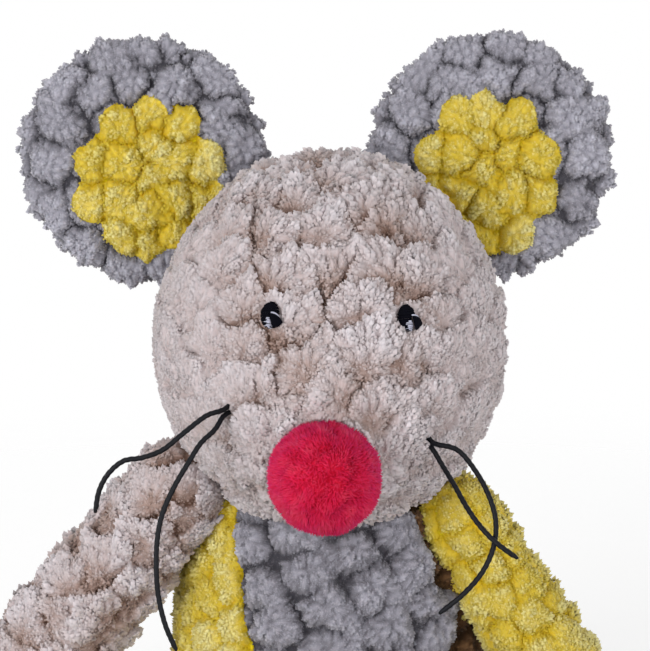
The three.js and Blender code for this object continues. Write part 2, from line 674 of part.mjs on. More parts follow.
function tailGeometry(offset) {
  const rows = [];
  const steps = 8;
  const floor = TAIL_FLAT - TAIL_AT.z;
  const up = new THREE.Vector3(0, 0, 1);
  const ring = (along, forward, radius) => {
    const centre = tailPath.getPointAt(along);
    const way = tailPath.getTangentAt(along);
    const side = way.clone().cross(up);
    const full = TAIL_ROOT_R + (TAIL_TIP_R - TAIL_ROOT_R) * along;
    centre.addScaledVector(way, forward).addScaledVector(up, full - 2 * TAIL_FLAT + floor);
    const row = [];
    const sides = offset < 0 ? TAIL_LINING_SIDES : TAIL_SIDES;
    for (let i = 0; i < sides; i++) {
      const a = 2 * Math.PI * (i + 0.5) / sides;
      const p = centre.clone().addScaledVector(side, radius * Math.cos(a));
      row.push(p.addScaledVector(up, radius * Math.sin(a)));
    }
    return row;
  };
  const root = TAIL_ROOT_R + offset;
  const tip = TAIL_TIP_R + offset;
  for (const a of [60, 30]) rows.push(ring(0, -root * Math.sin(a * DEG), root * Math.cos(a * DEG)));
  for (let i = 0; i <= steps; i++) {
    rows.push(ring(i / steps, 0, TAIL_ROOT_R + (TAIL_TIP_R - TAIL_ROOT_R) * i / steps + offset));
  }
  for (const a of [35, 65]) rows.push(ring(1, tip * Math.sin(a * DEG), tip * Math.cos(a * DEG)));
  const mean = (row) => row.reduce((sum, p) => sum.add(p), new THREE.Vector3()).divideScalar(row.length);
  const first = mean(rows[0]).addScaledVector(tailPath.getTangentAt(0), -root * 0.13);
  const last = mean(rows[rows.length - 1]).addScaledVector(tailPath.getTangentAt(1), tip * 0.09);
  return skin(rows, first, last);
}

const tail = groupAt(part, 'tail', TAIL_AT);
const standing = above(-TAIL_AT.z);
const mouth = solidOf(new THREE.CylinderGeometry(3.4, 3.4, 12, 8).translate(0, -TAIL_ROOT_R, 0));
const tailShell = solidOf(tailGeometry(0)).subtract(solidOf(tailGeometry(-TAIL_CLOTH))).subtract(mouth);
add(tail, 'tail_cover', tailShell.intersect(standing), grey);
add(tail, 'tail_stuffing', solidOf(tailGeometry(-TAIL_CLOTH - GAP)), fibre);

export default part;
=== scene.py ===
# A stuffed plush mouse, a pet toy: the looks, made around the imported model.
# Tables are in millimetres, Blender in metres.
import json
import math

import bpy
import numpy as np
from mathutils import Matrix, Vector
from mathutils.kdtree import KDTree


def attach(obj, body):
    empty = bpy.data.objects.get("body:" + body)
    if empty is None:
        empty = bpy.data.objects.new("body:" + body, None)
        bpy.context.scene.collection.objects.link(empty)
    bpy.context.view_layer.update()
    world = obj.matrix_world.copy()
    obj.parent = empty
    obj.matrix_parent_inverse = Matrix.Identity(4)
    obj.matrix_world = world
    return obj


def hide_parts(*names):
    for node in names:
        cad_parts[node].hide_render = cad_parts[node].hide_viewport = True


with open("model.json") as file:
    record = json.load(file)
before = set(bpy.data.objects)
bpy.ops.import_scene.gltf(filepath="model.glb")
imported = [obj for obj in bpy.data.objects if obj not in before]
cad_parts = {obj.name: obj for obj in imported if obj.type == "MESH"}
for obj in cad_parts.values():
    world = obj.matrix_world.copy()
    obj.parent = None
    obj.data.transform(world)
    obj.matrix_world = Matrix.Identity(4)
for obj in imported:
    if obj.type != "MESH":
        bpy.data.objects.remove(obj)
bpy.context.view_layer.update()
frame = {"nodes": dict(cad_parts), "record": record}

MM = 0.001
NODES = frame["nodes"]

# Head, a ball with a low snout
HEAD_AT = np.array([0.0, -14.0, 127.0])
HEAD_R = 46.5
HEAD_HALF_TALL = 50.0
SNOUT_RISE = 6.0
SNOUT_SPREAD = math.radians(44)
NOSE_DROP = math.radians(24.5)
NOSE_TURN = math.radians(1.2)
NOSE_WAY = np.array([
    -math.sin(NOSE_TURN) * math.cos(NOSE_DROP),
    -math.cos(NOSE_TURN) * math.cos(NOSE_DROP),
    -math.sin(NOSE_DROP),
])
NOSE_R = 14.3
NOSE_REACH = 58.8
HEAD_SEAM_Y = 16.0
# Half its girth, from crown to neck
HEAD_RUN = math.pi * 48
# Its pile: above one height the fans stand apart on the brow, below another they close up, each over so many
# millimetres. Cheeks begin so far out, and their pile is pressed flatter, most on the right one
BROW_ABOVE = 5
BROW_OVER = 25
BROW_OPEN = 0.35
CLOSE_BELOW = 14
CLOSE_OVER = 30
CHEEK_OUT = 18
CHEEK_OVER = 16
CHEEK_PRESS = {"right": 0.8, "left": 0.3}

# Eyes, and round each a bare spot in a face of this radius, with the width over which its pile comes back
EYE_OUT = {"right": -19.0, "left": 25.8}
EYE_UP = {"right": 17.9, "left": 16.6}
EYE_WIDE = 5.2
EYE_TALL = 6.6
EYE_RISE = 1.6
FACE_R = 47.0
EYE_BARE = 2.0
EYE_FADE = 3.5

# Whiskers, waxed cord of twisted strands with a bevelled end; the twist is in radians to the millimetre.
# They start inside the cheek and leave it near its cloth, at these distances from it. For each one: its
# cheek, which of the two in the hole it is, then points in the head's frame
WHISKER_D = 1.3
WHISKER_SIT = 0.83
WHISKER_EXIT = -0.5
WHISKER_START = (-3.0, WHISKER_EXIT, 2.5)
WHISKER_POINTS = 36
WHISKER_ROWS = 150
WHISKER_SIDES = 18
STRANDS = 3
STRAND_DEPTH = 0.075
CORD_TWIST = 1.25
BEVEL = 1.4
BEVEL_END = 0.62
TIP_ROUND = 0.25
CHEEK_RIGHT = (-24.6, -38.0, -9.9)
CHEEK_LEFT = (24.0, -35.2, -18.1)
WHISKERS = {
    "whisker_right_upper": (CHEEK_RIGHT, 1, [
        (-30.5, -44.4, -10.6), (-36, -46.8, -14.4), (-41.5, -48.2, -18.6), (-46.5, -48.6, -20.4),
        (-51, -48.6, -21.2), (-54.8, -48.6, -24.4), (-57.2, -48.4, -28.8), (-58.3, -48.4, -34.4)]),
    "whisker_right_lower": (CHEEK_RIGHT, -1, [
        (-28.6, -45, -14.2), (-31.8, -47.6, -16.8), (-35, -49.6, -21.6), (-38.6, -51.3, -27.6),
        (-41.3, -52.9, -33.8), (-42.5, -54.5, -40), (-42.7, -55.7, -46.8), (-42.3, -56.3, -53.2),
        (-40.6, -57.1, -60.7), (-37.9, -57.3, -67.3)]),
    "whisker_left_long": (CHEEK_LEFT, 1, [
        (32, -42.4, -19.8), (36.4, -46.8, -24.2), (39.4, -50.6, -29.3), (41.1, -52.6, -34.9),
        (40.7, -54.7, -40.9), (38, -55.8, -47.3), (33.3, -56.8, -52.8), (27.2, -56.7, -58)]),
    "whisker_left_short": (CHEEK_LEFT, -1, [
        (28.6, -41.2, -24.4), (31.2, -46, -28), (34, -50.6, -32.4), (37, -53.8, -36.2),
        (40.6, -56, -39.7), (44.1, -57.2, -42.2), (46.3, -57.6, -43.6)]),
}

# Ears, padded discs with an oval lobe of the other colour in front
EAR_R = 32.5
EAR_HALF_THICK = 5.0
EAR_LEAN = {"right": math.radians(-46.9), "left": math.radians(42.3)}
EAR_REACH = {"right": 22.8, "left": 19.2}
LOBE_WIDE = 20.5
LOBE_TALL = 21.5
LOBE_DROP = {"right": 4.5, "left": 4.3}
LOBE_SLIDE = {"right": -2.4, "left": 2.0}
# Columns of yellow bobbles: how far apart, how many to a side at most, and how far up and down the middle one
# reaches. The yellow fills this share of the lobe, and at its edge reaches so far from a bobble's middle
COLUMN_STEP = {"right": 7.6, "left": 6.9}
COLUMN_SPAN = 2.1
LOBE_FILL = 17.4
LOBE_EVEN = 0.87
SCALLOP = 5.7
# Grey bobbles: how many lie round the lobe and along the ear's edge, how far outside the lobe the first
# ones are, how close two may come, and how far apart the rows and the bobbles in them are behind
ROUND_LOBE = 14
ROUND_EDGE = 17
LOBE_CLEAR = 7
EAR_CLOSE = 7
EAR_ROW = 10.4
EAR_ACROSS = 12.2
# Those along the edge, in front and behind: how far in from it, where in y, and how far turned on
EDGE_BOBBLES = ((2, -3.0, 0.0), (3, 4.0, 0.18))

# Torso rings: height, half width, half depth, middle in y
BODY_RINGS = [
    (0, 31, 29, 2), (6, 38, 36, 1.5), (18, 41.5, 38.5, 1), (36, 42, 38.5, 0.5), (56, 40.5, 36.5, 0),
    (74, 38.5, 33, 0), (88, 35.5, 28.5, 1), (98, 29, 22, 3), (103, 20, 15, 4)]
SEAT_SEAM = 8.0
BELLY_SEAM_RIGHT = -32.0
BELLY_SEAM_LEFT = 57.0
BACK_SEAM = 128.0
SEAM_TWIST = 16.0
TWIST_FROM = 52.0
TWIST_TO = 80.0
SEAM_WAVER = 5.0
SEAM_WAVE = 8.0
# Its shoulder and top, the length of its outline and its girth's radius
BODY_SHOULDER = 104.6
BODY_TOP = 105.0
BODY_RUN = 172
BODY_R = 40
# Above so many rows at the seat, a panel has as many columns of bobbles as it would at this radius
SEAT_ROWS = 4
COLUMN_R = 38

# Limbs: root, rows of (along, radius), length and end
SHOULDER = {"right": np.array([-40.6, -17.0, 87.2]), "left": np.array([34.0, -17.5, 80.6])}
ARM = (13.9, [(13, 13.4), (28, 14.3), (44, 15)], 56.0, 15.0)
ARM_SLIM = {"right": 1.0, "left": 0.77}
ARM_DROOP = {"right": 38.5, "left": 32.0}
HIP = np.array([23.0, -31.0, 14.5])
LEG = (12.0, [(14, 13.4), (30, 14.4), (44, 16)], 54.0, 16.6)
LEG_SPLAY = 13.0
TAIL_AT = np.array([0.0, 39.0, 7.5])
TAIL_PATH = [(0, 0, 0), (2, 18, 0), (12, 34, 0), (30, 43, 0), (50, 42, 0), (66, 33, 0)]
TAIL_ROOT_R = 7.0
TAIL_TIP_R = 4.2
TAIL_RUN = 96
# Its cloth is thinner, so its bobbles are lower
TAIL_CALM = 0.5
# Legs and tail lie flat on the floor: the height up to which they are pressed, and how high their
# undersides and the seat's are
LEG_FLAT = 2.6
TAIL_FLAT = 2.0
UNDERSIDE = 0.5
SEAT_UNDERSIDE = 0.4

# Spacing of the cloth's mesh, how deep its edges turn in at a seam and how many times they are evened out
GRID = 0.86
HEAD_GRID = 0.7
EAR_GRID = 0.76
TURN_IN = 4.0
EDGE_ROUNDS = 4
# How far a bud of the pile is shaded by its own form, against the cloth's
BUD_SHARE = 0.25
# The pile is coarser on the pieces that face away: so many times the buds, of so many times the size
AWAY = ("head_back", "ear_back", "back_panel", "side_panel_left", "seat_panel", "arm_rear", "leg", "tail")
COARSE = (0.45, 1.32)

# Kinds of plush. A bobble is so far across and along, strays from its row by a share of that, is so uneven
# in size, and its border wanders. Valleys sink and tops rise from the solid; ground is how wide a valley's
# floor is to each side, gap how many of them stand open, and quiet how close the painted light and shade
# lie. Plump is how square a bobble's dome is, edge how far the painted shade keeps to the valleys, and oval
# how far a bobble may spread across and along. A bobble is a tuft of locks, each so wide, so many times as
# long, and so high, with painted shade this dark in the crease round it. Heart is how far from the root the
# locks begin, root how far below the middle the tuft fans from and how dark its root is painted, and lap how
# far its upper edge lies over the next and how much lighter that edge is painted. Then the pile: how far it
# fans out and stands up, buds to the square millimetre, their length, width and scatter.
PLUSH = {
    "beige": dict(
        across=13.6, along=10.6, stray=0.3, uneven=14, wander=1.7, sink=-2.8, rise=0.6, ground=0.0, gap=0.35,
        quiet=0.0, plump=0.62, edge=0.9, oval=None, lock=3.0, long=2.0, heart=0.9, lock_rise=1.9, crease_shade=0.12,
        root=0.36, lap=0.85, fan=1.2, stand=0.7, buds=1.7, length=1.3, width=0.94, scatter=0.3),
    "grey": dict(
        across=15.0, along=9.3, stray=0.12, uneven=6, wander=0.6, sink=-2.2, rise=2.2, ground=0.3, gap=0.7,
        quiet=0.0, plump=0.62, edge=1.7, oval=(7.8, 5.8), lock=2.3, long=2.6, heart=3.0, lock_rise=1.7,
        crease_shade=0.36, root=-0.2, lap=0.0, fan=0.5, stand=0.9, buds=2.6, length=0.75, width=0.62, scatter=0.3),
    "rim": dict(
        across=13.0, along=11.0, stray=0.16, uneven=7, wander=1.2, sink=-2.2, rise=1.5, ground=0.2, gap=0.4,
        quiet=0.1, plump=0.62, edge=1.3, oval=(7.6, 7.0), lock=2.5, long=1.4, heart=0.9, lock_rise=1.9,
        crease_shade=0.22, root=0.0, lap=0.0, fan=0.4, stand=1.0, buds=2.3, length=0.75, width=0.68, scatter=0.4),
    "yellow": dict(
        across=9.6, along=9.4, stray=0.12, uneven=6, wander=0.9, sink=-1.6, rise=1.8, ground=0.1, gap=0.6,
        quiet=0.2, plump=0.58, edge=1.5, oval=(6.3, 6.1), lock=2.2, long=1.4, heart=0.8, lock_rise=1.0,
        crease_shade=0.1, root=0.05, lap=0.0, fan=0.4, stand=1.0, buds=2.25, length=1.05, width=0.66, scatter=0.45),
}
# The same for all plush. Waves in which borders wander, coarse and fine, in which valleys stand open and in
# which the colour drifts; how far a tuft is turned its own way; and how round a dome falls
WANDER_WAVE = 6.5
FINE_WAVE = 2.2
FINE_WANDER = 0.4
OPEN_WAVE = 8.0
DRIFT_WAVE = 14.0
TUFT_TURN = 0.25
DOME_FALL = 2.2
# Shares of the way from dark to light: the middle; what valleys and roots lose, painted shade over the
# knit's and roots' own darker colour; and how far locks, patches and tufts differ, higher locks painted
# lighter
MID_TONE = 0.72
VALLEY_DARK = 0.66
ROOT_DARK = 0.75
LOCK_TONE = 0.16
DRIFT_TONE = 0.05
TUFT_TONE = 0.05
# Fibre pattern: millimetres to a radian of the fan, and from one tuft to the next
FIBRE_TURN = 6.0
FIBRE_STEP = 7.3


# Small sums
def smooth(t):
    t = np.clip(t, 0.0, 1.0)
    return t * t * (3 - 2 * t)


def unit(v):
    return v / np.maximum(np.linalg.norm(v, axis=-1, keepdims=True), 1e-9)


def ripple(points, size, seed, waves=9):
    """Soft noise between about -1 and 1 with lumps of this size."""
    rng = np.random.default_rng(seed)
    total = np.zeros(len(points))
    for _ in range(waves):
        way = unit(rng.normal(size=3)) * (math.pi / size) * rng.uniform(0.7, 1.4)
        total += np.sin(points @ way + rng.uniform(0, 2 * math.pi))
    return total / math.sqrt(waves)


def through(points, steps):
    """Even points on a centripetal Catmull-Rom line through the given ones."""
    p = np.array(points, float)
    p = np.vstack([2 * p[0] - p[1], p, 2 * p[-1] - p[-2]])
    line = []
    for i in range(1, len(p) - 2):
        t = np.cumsum([0.0] + [max(np.linalg.norm(p[i + k] - p[i + k - 1]), 1e-4) ** 0.5 for k in range(3)])
        for u in np.linspace(t[1], t[2], 24, endpoint=i == len(p) - 3)[:, None]:
            a = [(p[i + k - 1] * (t[k + 1] - u) + p[i + k] * (u - t[k])) / (t[k + 1] - t[k])
                 for k in range(3)]
            b = [(a[k] * (t[k + 2] - u) + a[k + 1] * (u - t[k])) / (t[k + 2] - t[k]) for k in range(2)]
            line.append(((b[0] * (t[2] - u) + b[1] * (u - t[1])) / (t[2] - t[1])))
    line = np.array(line)
    run = np.concatenate([[0], np.cumsum(np.linalg.norm(np.diff(line, axis=0), axis=1))])
    at = np.linspace(0, run[-1], steps)
    return np.stack([np.interp(at, run, line[:, k]) for k in range(line.shape[1])], 1)


def at_share(table, share):
    """The columns of a table at a share of its length."""
    return [np.interp(share * (len(table) - 1), np.arange(len(table)), column) for column in table.T]


def ball_ways(tilts, turns, front):
    """Rows of unit vectors from the top of a ball to its bottom; front is the sign of y where they start."""
    return [np.stack([np.sin(turns) * math.sin(tilt), front * np.cos(turns) * math.sin(tilt),
                      np.full(len(turns), math.cos(tilt))], 1) for tilt in tilts]


def head_reach(ways):
    """How far the head's cloth is from its middle, along unit vectors."""
    x, y, z = ways.T
    egg = 1 / np.sqrt((x / HEAD_R) ** 2 + (y / HEAD_R) ** 2 + (z / HEAD_HALF_TALL) ** 2)
    angle = np.arccos(np.clip(ways @ NOSE_WAY, -1, 1))
    swell = np.cos(np.clip(angle / SNOUT_SPREAD, 0, 1) * math.pi / 2) ** 2
    return egg + SNOUT_RISE * swell


# Camera, at the photograph's angle and scale
CAMERA_TARGET = np.array([0.0, -14.0, 131.2])
CAMERA_DISTANCE = 620.0
CAMERA_RISE = math.radians(10)
PIXELS_PER_MM = 3.75
PHOTO_WIDE, PHOTO_TALL = 650, 651
TARGET_PIXEL = (329.0, 326.0)
SENSOR = 36.0


def set_camera():
    data = bpy.data.cameras.new("camera")
    data.sensor_fit = "HORIZONTAL"
    data.sensor_width = SENSOR
    data.lens = SENSOR * CAMERA_DISTANCE / (PHOTO_WIDE / PIXELS_PER_MM)
    data.clip_start, data.clip_end = 0.01, 20.0
    camera = bpy.data.objects.new("camera", data)
    bpy.context.scene.collection.objects.link(camera)
    back = Vector((0, -math.cos(CAMERA_RISE), math.sin(CAMERA_RISE)))
    turn = (-back).to_track_quat("-Z", "Y")
    right, up = turn @ Vector((1, 0, 0)), turn @ Vector((0, 1, 0))
    aim = Vector(CAMERA_TARGET) + right * ((PHOTO_WIDE / 2 - TARGET_PIXEL[0]) / PIXELS_PER_MM)
    aim += up * ((TARGET_PIXEL[1] - PHOTO_TALL / 2) / PIXELS_PER_MM)
    camera.location = (aim + back * CAMERA_DISTANCE) * MM
    camera.rotation_mode = "QUATERNION"
    camera.rotation_quaternion = turn
    bpy.context.scene.camera = camera


set_camera()


# Meshes
def mesh_from(name, points, polygons):
    """A mesh in metres from points in millimetres and a list of equal-sided polygon tables."""
    mesh = bpy.data.meshes.new(name)
    corners = np.concatenate([p.ravel() for p in polygons]).astype(np.int32)
    sizes = np.concatenate([np.full(len(p), p.shape[1]) for p in polygons])
    starts = np.concatenate([[0], np.cumsum(sizes)[:-1]]).astype(np.int32)
    mesh.vertices.add(len(points))
    mesh.vertices.foreach_set("co", (np.asarray(points) * MM).astype(np.float32).ravel())
    mesh.loops.add(len(corners))
    mesh.loops.foreach_set("vertex_index", corners)
    mesh.polygons.add(len(sizes))
    mesh.polygons.foreach_set("loop_start", starts)
    mesh.update(calc_edges=True)
    mesh.validate()
    mesh.shade_smooth()
    return mesh


def put_values(mesh, name, values):
    kind = "FLOAT_VECTOR" if values.ndim == 2 else "FLOAT"
    field = mesh.attributes.new(name, kind, "POINT")
    field.data.foreach_set("vector" if values.ndim == 2 else "value", values.astype(np.float32).ravel())


def object_from(name, mesh):
    piece = bpy.data.objects.new(name, mesh)
    bpy.context.scene.collection.objects.link(piece)
    return piece


def rings_form(rows):
    """A closed skin over rows of points whose first and last rows shrink to single points, with its faces and
    normals."""
    first, last, rings = rows[0].mean(0), rows[-1].mean(0), np.array(rows[1:-1])
    count, sides = rings.shape[:2]
    points = np.vstack([rings.reshape(-1, 3), first, last])
    row, side = np.meshgrid(np.arange(count - 1), np.arange(sides), indexing="ij")
    after = (side + 1) % sides
    quads = np.stack([row * sides + side, row * sides + after,
                      (row + 1) * sides + after, (row + 1) * sides + side], -1)
    quads = quads.reshape(-1, 4)
    side = np.arange(sides)
    after = (side + 1) % sides
    top = np.stack([np.full(sides, count * sides), after, side], 1)
    end = (count - 1) * sides
    bottom = np.stack([np.full(sides, count * sides + 1), end + side, end + after], 1)
    triangles = np.vstack([top, bottom])
    around = np.cross(points[quads[:, 2]] - points[quads[:, 0]], points[quads[:, 3]] - points[quads[:, 1]])
    outward = (points[quads].mean(1) - points.mean(0)) * around
    if outward.sum() < 0:
        quads, triangles = quads[:, ::-1], triangles[:, ::-1]
    form = dict(points=points, quads=quads, triangles=triangles)
    return dict(form, normals=normals_of(points, form))


def normals_of(points, form):
    """Smooth normals of points joined as a form's are."""
    normals = np.zeros_like(points)
    for faces in (form["quads"], form["triangles"]):
        way = np.cross(points[faces[:, 2]] - points[faces[:, 0]], points[faces[:, -1]] - points[faces[:, 1]])
        for k in range(faces.shape[1]):
            np.add.at(normals, faces[:, k], way)
    return unit(normals)


def panel_piece(name, form, cloth, keep):
    """A closed piece from the faces that keep() picks by their middles and their bobbles' middles, so that
    seams run between bobbles: cloth in front, its edge turned in, stuffing behind."""
    points, moved, values = form["points"], cloth["moved"], cloth["values"]
    parts = [f[keep(points[f].mean(1), cloth["bobble"][f[:, 0]])] for f in (form["quads"], form["triangles"])]
    used = np.unique(np.concatenate([p.ravel() for p in parts]))
    place = np.full(len(points), -1)
    place[used] = np.arange(len(used))
    parts = [place[p] for p in parts]
    count = len(used)
    edges = np.vstack([np.stack([p[:, k], p[:, (k + 1) % p.shape[1]]], 1)
                       for p in parts for k in range(p.shape[1])])
    key = edges[:, 0].astype(np.int64) * count + edges[:, 1]
    back = edges[:, 1].astype(np.int64) * count + edges[:, 0]
    rim = edges[~np.isin(key, back)]
    outer, under = moved[used], points[used] - form["normals"][used] * TURN_IN
    # Each loop of the rim is evened out and joined to a copy of it inside, which is closed round its middle
    after = {}
    for a, b in rim.tolist():
        after.setdefault(a, []).append(b)
    extra, walls, caps = [], [], []
    for start in list(after):
        loop = [start]
        while after[loop[-1]]:
            loop.append(after[loop[-1]].pop())
        loop = np.array(loop[:-1])
        if not len(loop):
            continue
        for edge in (outer, under):
            for _ in range(EDGE_ROUNDS):
                edge[loop] = (np.roll(edge[loop], 1, 0) + 2 * edge[loop] + np.roll(edge[loop], -1, 0)) / 4
        low = count + len(extra) + np.arange(len(loop))
        extra += list(under[loop]) + [under[loop].mean(0)]
        middle, ahead, low_ahead = low[-1] + 1, np.roll(loop, -1), np.roll(low, -1)
        walls.append(np.stack([ahead, loop, low, low_ahead], 1))
        caps.append(np.stack([low_ahead, low, np.full(len(low), middle)], 1))
    solid = np.vstack([outer, np.array(extra).reshape(-1, 3)])
    mesh = mesh_from(name, solid, [p for p in parts + walls + caps if len(p)])
    for field, value in values.items():
        inside = np.zeros((len(extra), 3)) if value.ndim == 2 else np.zeros(len(extra))
        put_values(mesh, field, np.concatenate([value[used], inside]))
    return object_from(name, mesh)


# Bobbles: rows of tufts, every other row set half a bobble along
def bobble_rows(length, girth, place, kind, seed):
    """Middles of bobbles in rows. girth(share) is the way round at a share of the length."""
    rng = np.random.default_rng(seed)
    cloth = PLUSH[kind]
    rows = max(2, round(length / cloth["along"]))
    middles = []
    for i in range(rows):
        count = max(1, round(girth((i + 0.5) / rows) / cloth["across"]))
        start = 0.5 * (i % 2) + rng.uniform(-0.2, 0.2)
        for k in range(count):
            stray = rng.uniform(-cloth["stray"], cloth["stray"], 2)
            middles.append(place((i + 0.5 + stray[0]) / rows, ((k + start + stray[1]) / count) % 1.0))
    return np.array(middles)


def nearest(points, seeds):
    """For each point, the seed that lies nearest."""
    finder = KDTree(len(seeds))
    for i, p in enumerate(seeds):
        finder.insert(p, i)
    finder.balance()
    return np.array([finder.find(p)[1] for p in points])


def cells(points, middles, weights):
    """For each point, its own middle and how far away that cell's nearest border and its next one are."""
    own, border = [], []
    for some in np.array_split(points, max(1, len(points) // 8000)):
        apart = (some ** 2).sum(1)[:, None] + (middles ** 2).sum(1) - 2 * some @ middles.T - weights
        few = np.argpartition(apart, 4, axis=1)[:, :5]
        few = np.take_along_axis(few, np.take_along_axis(apart, few, 1).argsort(1), 1)
        reach = np.take_along_axis(apart, few, 1)
        between = np.linalg.norm(middles[few[:, 1:]] - middles[few[:, :1]], axis=2)
        own.append(few[:, 0])
        border.append(np.sort((reach[:, 1:] - reach[:, :1]) / (2 * between), axis=1)[:, :2])
    return np.concatenate(own), np.concatenate(border)


def lock_seeds(rng, cloth):
    """Middles of the locks of one tuft, in rings round its root, and the way each one points."""
    spots, ways = [], []
    ring, turn = cloth["heart"], rng.uniform(0, 2 * math.pi)
    while ring < 1.1 * cloth["across"]:
        count = max(3, round(2 * math.pi * ring / cloth["lock"]))
        for k in range(count):
            a = turn + (k + rng.uniform(-0.28, 0.28)) / count * 2 * math.pi
            far = ring + rng.uniform(-0.3, 0.3) * cloth["lock"] * cloth["long"]
            spots.append((far * math.cos(a), far * math.sin(a)))
            ways.append((math.cos(a), math.sin(a)))
        turn += math.pi / count
        ring += cloth["lock"] * cloth["long"] * 0.9
    return np.array(spots), np.array(ways)


def bobbled(form, middles, kind, seed, calm=None, shut=0.0, quiet=0.0, seam=None, like=None):
    """Raises a form's points into bobbles of locks, laid out afresh or like another cloth's. Where it is
    shut the valleys close, and where it is quiet its painted light and shade lie closer. Gives the moved
    points, each point's bobble, how the bobbles are laid out, and the pile's values, whose tone carries
    painted shade."""
    rng = np.random.default_rng(seed)
    cloth = PLUSH[kind]
    points, normals = form["points"], form["normals"]
    coarse, fine = [np.stack([ripple(points, wave, seed + first + k) for k in range(3)], 1)
                    for wave, first in ((WANDER_WAVE, 10), (FINE_WAVE, 15))]
    bent = points + coarse * cloth["wander"]
    bent += fine * FINE_WANDER
    if like:
        own, border = like["layout"]
    else:
        own, border = cells(bent, middles, rng.uniform(-1, 1, len(middles)) * cloth["uneven"])
    near, after = border.T
    if seam is not None:
        near = np.minimum(near, seam)
    # Each tuft fans out from a root on the cloth, turned a little its own way
    face = normals[nearest(middles, points)]
    level = np.where(np.abs(face[:, 2:3]) < 0.9, np.array([[0, 0, 1.0]]), np.array([[0, 1.0, 0]]))
    across = unit(np.cross(level, face))
    across = unit(across + np.cross(face, across) * rng.normal(0, TUFT_TURN, len(middles))[:, None])
    upward = np.cross(face, across)
    out = points - (middles - upward * (cloth["root"] * cloth["along"]))[own]
    flat = np.stack([(out * across[own]).sum(1), (out * upward[own]).sum(1)], 1)
    away, angle = np.hypot(*flat.T), np.arctan2(flat[:, 1], flat[:, 0])
    half = (cloth["across"] + cloth["along"]) / 4
    if cloth["oval"]:
        wide, tall = cloth["oval"]
        high = flat[:, 1] - cloth["root"] * cloth["along"]
        near = np.minimum(near, (1.1 - np.hypot(flat[:, 0] / wide, high / tall)) * half)
    inward = np.clip((near - cloth["ground"]) / (0.95 * half - cloth["ground"]), 0, 1)
    dome = (1 - (1 - inward) ** DOME_FALL) ** cloth["plump"]
    ajar = smooth(0.5 + 0.6 * (ripple(points, OPEN_WAVE, seed + 1) + cloth["gap"] - shut))
    corner = smooth(1 - after / (0.7 * half))
    # Valleys stand open mostly where three bobbles meet; a tuft's upper edge laps over the root of the next
    upper = np.clip(flat[:, 1] / ((0.5 + cloth["root"]) * cloth["along"]), 0, 1)
    sunk = (1 - dome) * np.clip(0.2 + 0.6 * ajar + 0.4 * corner * ajar, 0, 1) * (1 - cloth["lap"] * upper)
    # Locks, like petals, lie along the fan
    lock, tall, lean = np.zeros(len(points)), np.zeros(len(points)), np.zeros((len(points), 2))
    order = np.argsort(own, kind="stable")
    ends = np.searchsorted(own[order], np.arange(len(middles) + 1))
    for i in range(len(middles)):
        mine = order[ends[i]:ends[i + 1]]
        spots, ways = lock_seeds(rng, cloth)
        highs = rng.uniform(-0.5, 0.5, len(spots))
        gap = flat[mine][:, None] - spots
        length = (gap * ways).sum(2) / cloth["long"]
        width = gap[:, :, 1] * ways[:, 0] - gap[:, :, 0] * ways[:, 1]
        apart = np.hypot(length, width)
        two = np.argsort(apart, axis=1)[:, :2] if len(mine) else np.zeros((0, 2), int)
        reach = np.take_along_axis(apart, two, 1)
        lock[mine] = np.clip((reach[:, 1] - reach[:, 0]) / (0.85 * cloth["lock"]), 0, 1)
        tall[mine] = highs[two[:, 0]]
        lean[mine] = gap[np.arange(len(mine)), two[:, 0]]
    lock = np.sin(lock * math.pi / 2)
    height = cloth["rise"] * (1 + 0.3 * rng.uniform(-1, 1, len(middles))[own])
    rise = height - (height - cloth["sink"]) * sunk
    rise += cloth["lock_rise"] * (lock - 0.65 + 0.55 * tall) * (0.35 + 0.65 * dome)
    rise = np.maximum(rise + cloth["lap"] * 1.3 * (upper - 0.45), cloth["sink"])
    # Valleys, creases and roots are darker: mostly painted shade, with the bare knit's own colour in the
    # deepest valleys and the roots' own browner colour. Higher locks are painted lighter, and each tuft and
    # patch is a little lighter or darker than the next
    tone = 0.02 - VALLEY_DARK * sunk ** cloth["edge"] - cloth["crease_shade"] * (1 - lock) + LOCK_TONE * tall
    drift = DRIFT_TONE * ripple(points, DRIFT_WAVE, seed + 3)
    tone += drift + rng.uniform(-TUFT_TONE, TUFT_TONE, len(middles))[own]
    tone -= ROOT_DARK * max(cloth["root"], 0) * np.clip(1 - away / cloth["along"] * 1.5, 0, 1)
    # Where it is quiet, painted light and shade lie closer; a tuft's upper edge is painted lighter than its
    # lower part
    spread = 1 - 0.65 * np.maximum(quiet, cloth["quiet"] * dome)
    tone = MID_TONE + (tone + 0.12 * cloth["lap"] * (upper - 0.5)) * spread
    # The pile fans out from the root of its tuft and falls away from the middle of its lock
    fan = unit(out - normals * (out * normals).sum(1, keepdims=True))
    fan *= (cloth["fan"] * np.clip(away / half, 0, 1))[:, None]
    fall = across[own] * lean[:, :1] + upward[own] * lean[:, 1:]
    nap = normals * cloth["stand"] + fan + fall / cloth["lock"] * 0.35
    fibre = np.stack([angle * FIBRE_TURN, away, own * FIBRE_STEP], 1)
    cover = np.ones(len(points))
    if calm is not None:
        rise = rise * calm + cloth["sink"] * 0.35 * (1 - calm)
        cover = cover * smooth(calm * 1.6)
    moved = points + normals * rise[:, None]
    size = np.clip(1 + 0.8 * tall + 0.3 * (lock - 0.6) + 0.25 * (upper - 0.5) * cloth["lap"], 0.6, 1.5)
    values = dict(tone=np.clip(tone, 0, 1), size=size, nap=unit(nap), fibre=fibre, cover=cover,
                  soft_way=normals_of(moved, form))
    return dict(moved=moved, bobble=middles[own], layout=(own, border), values=values)


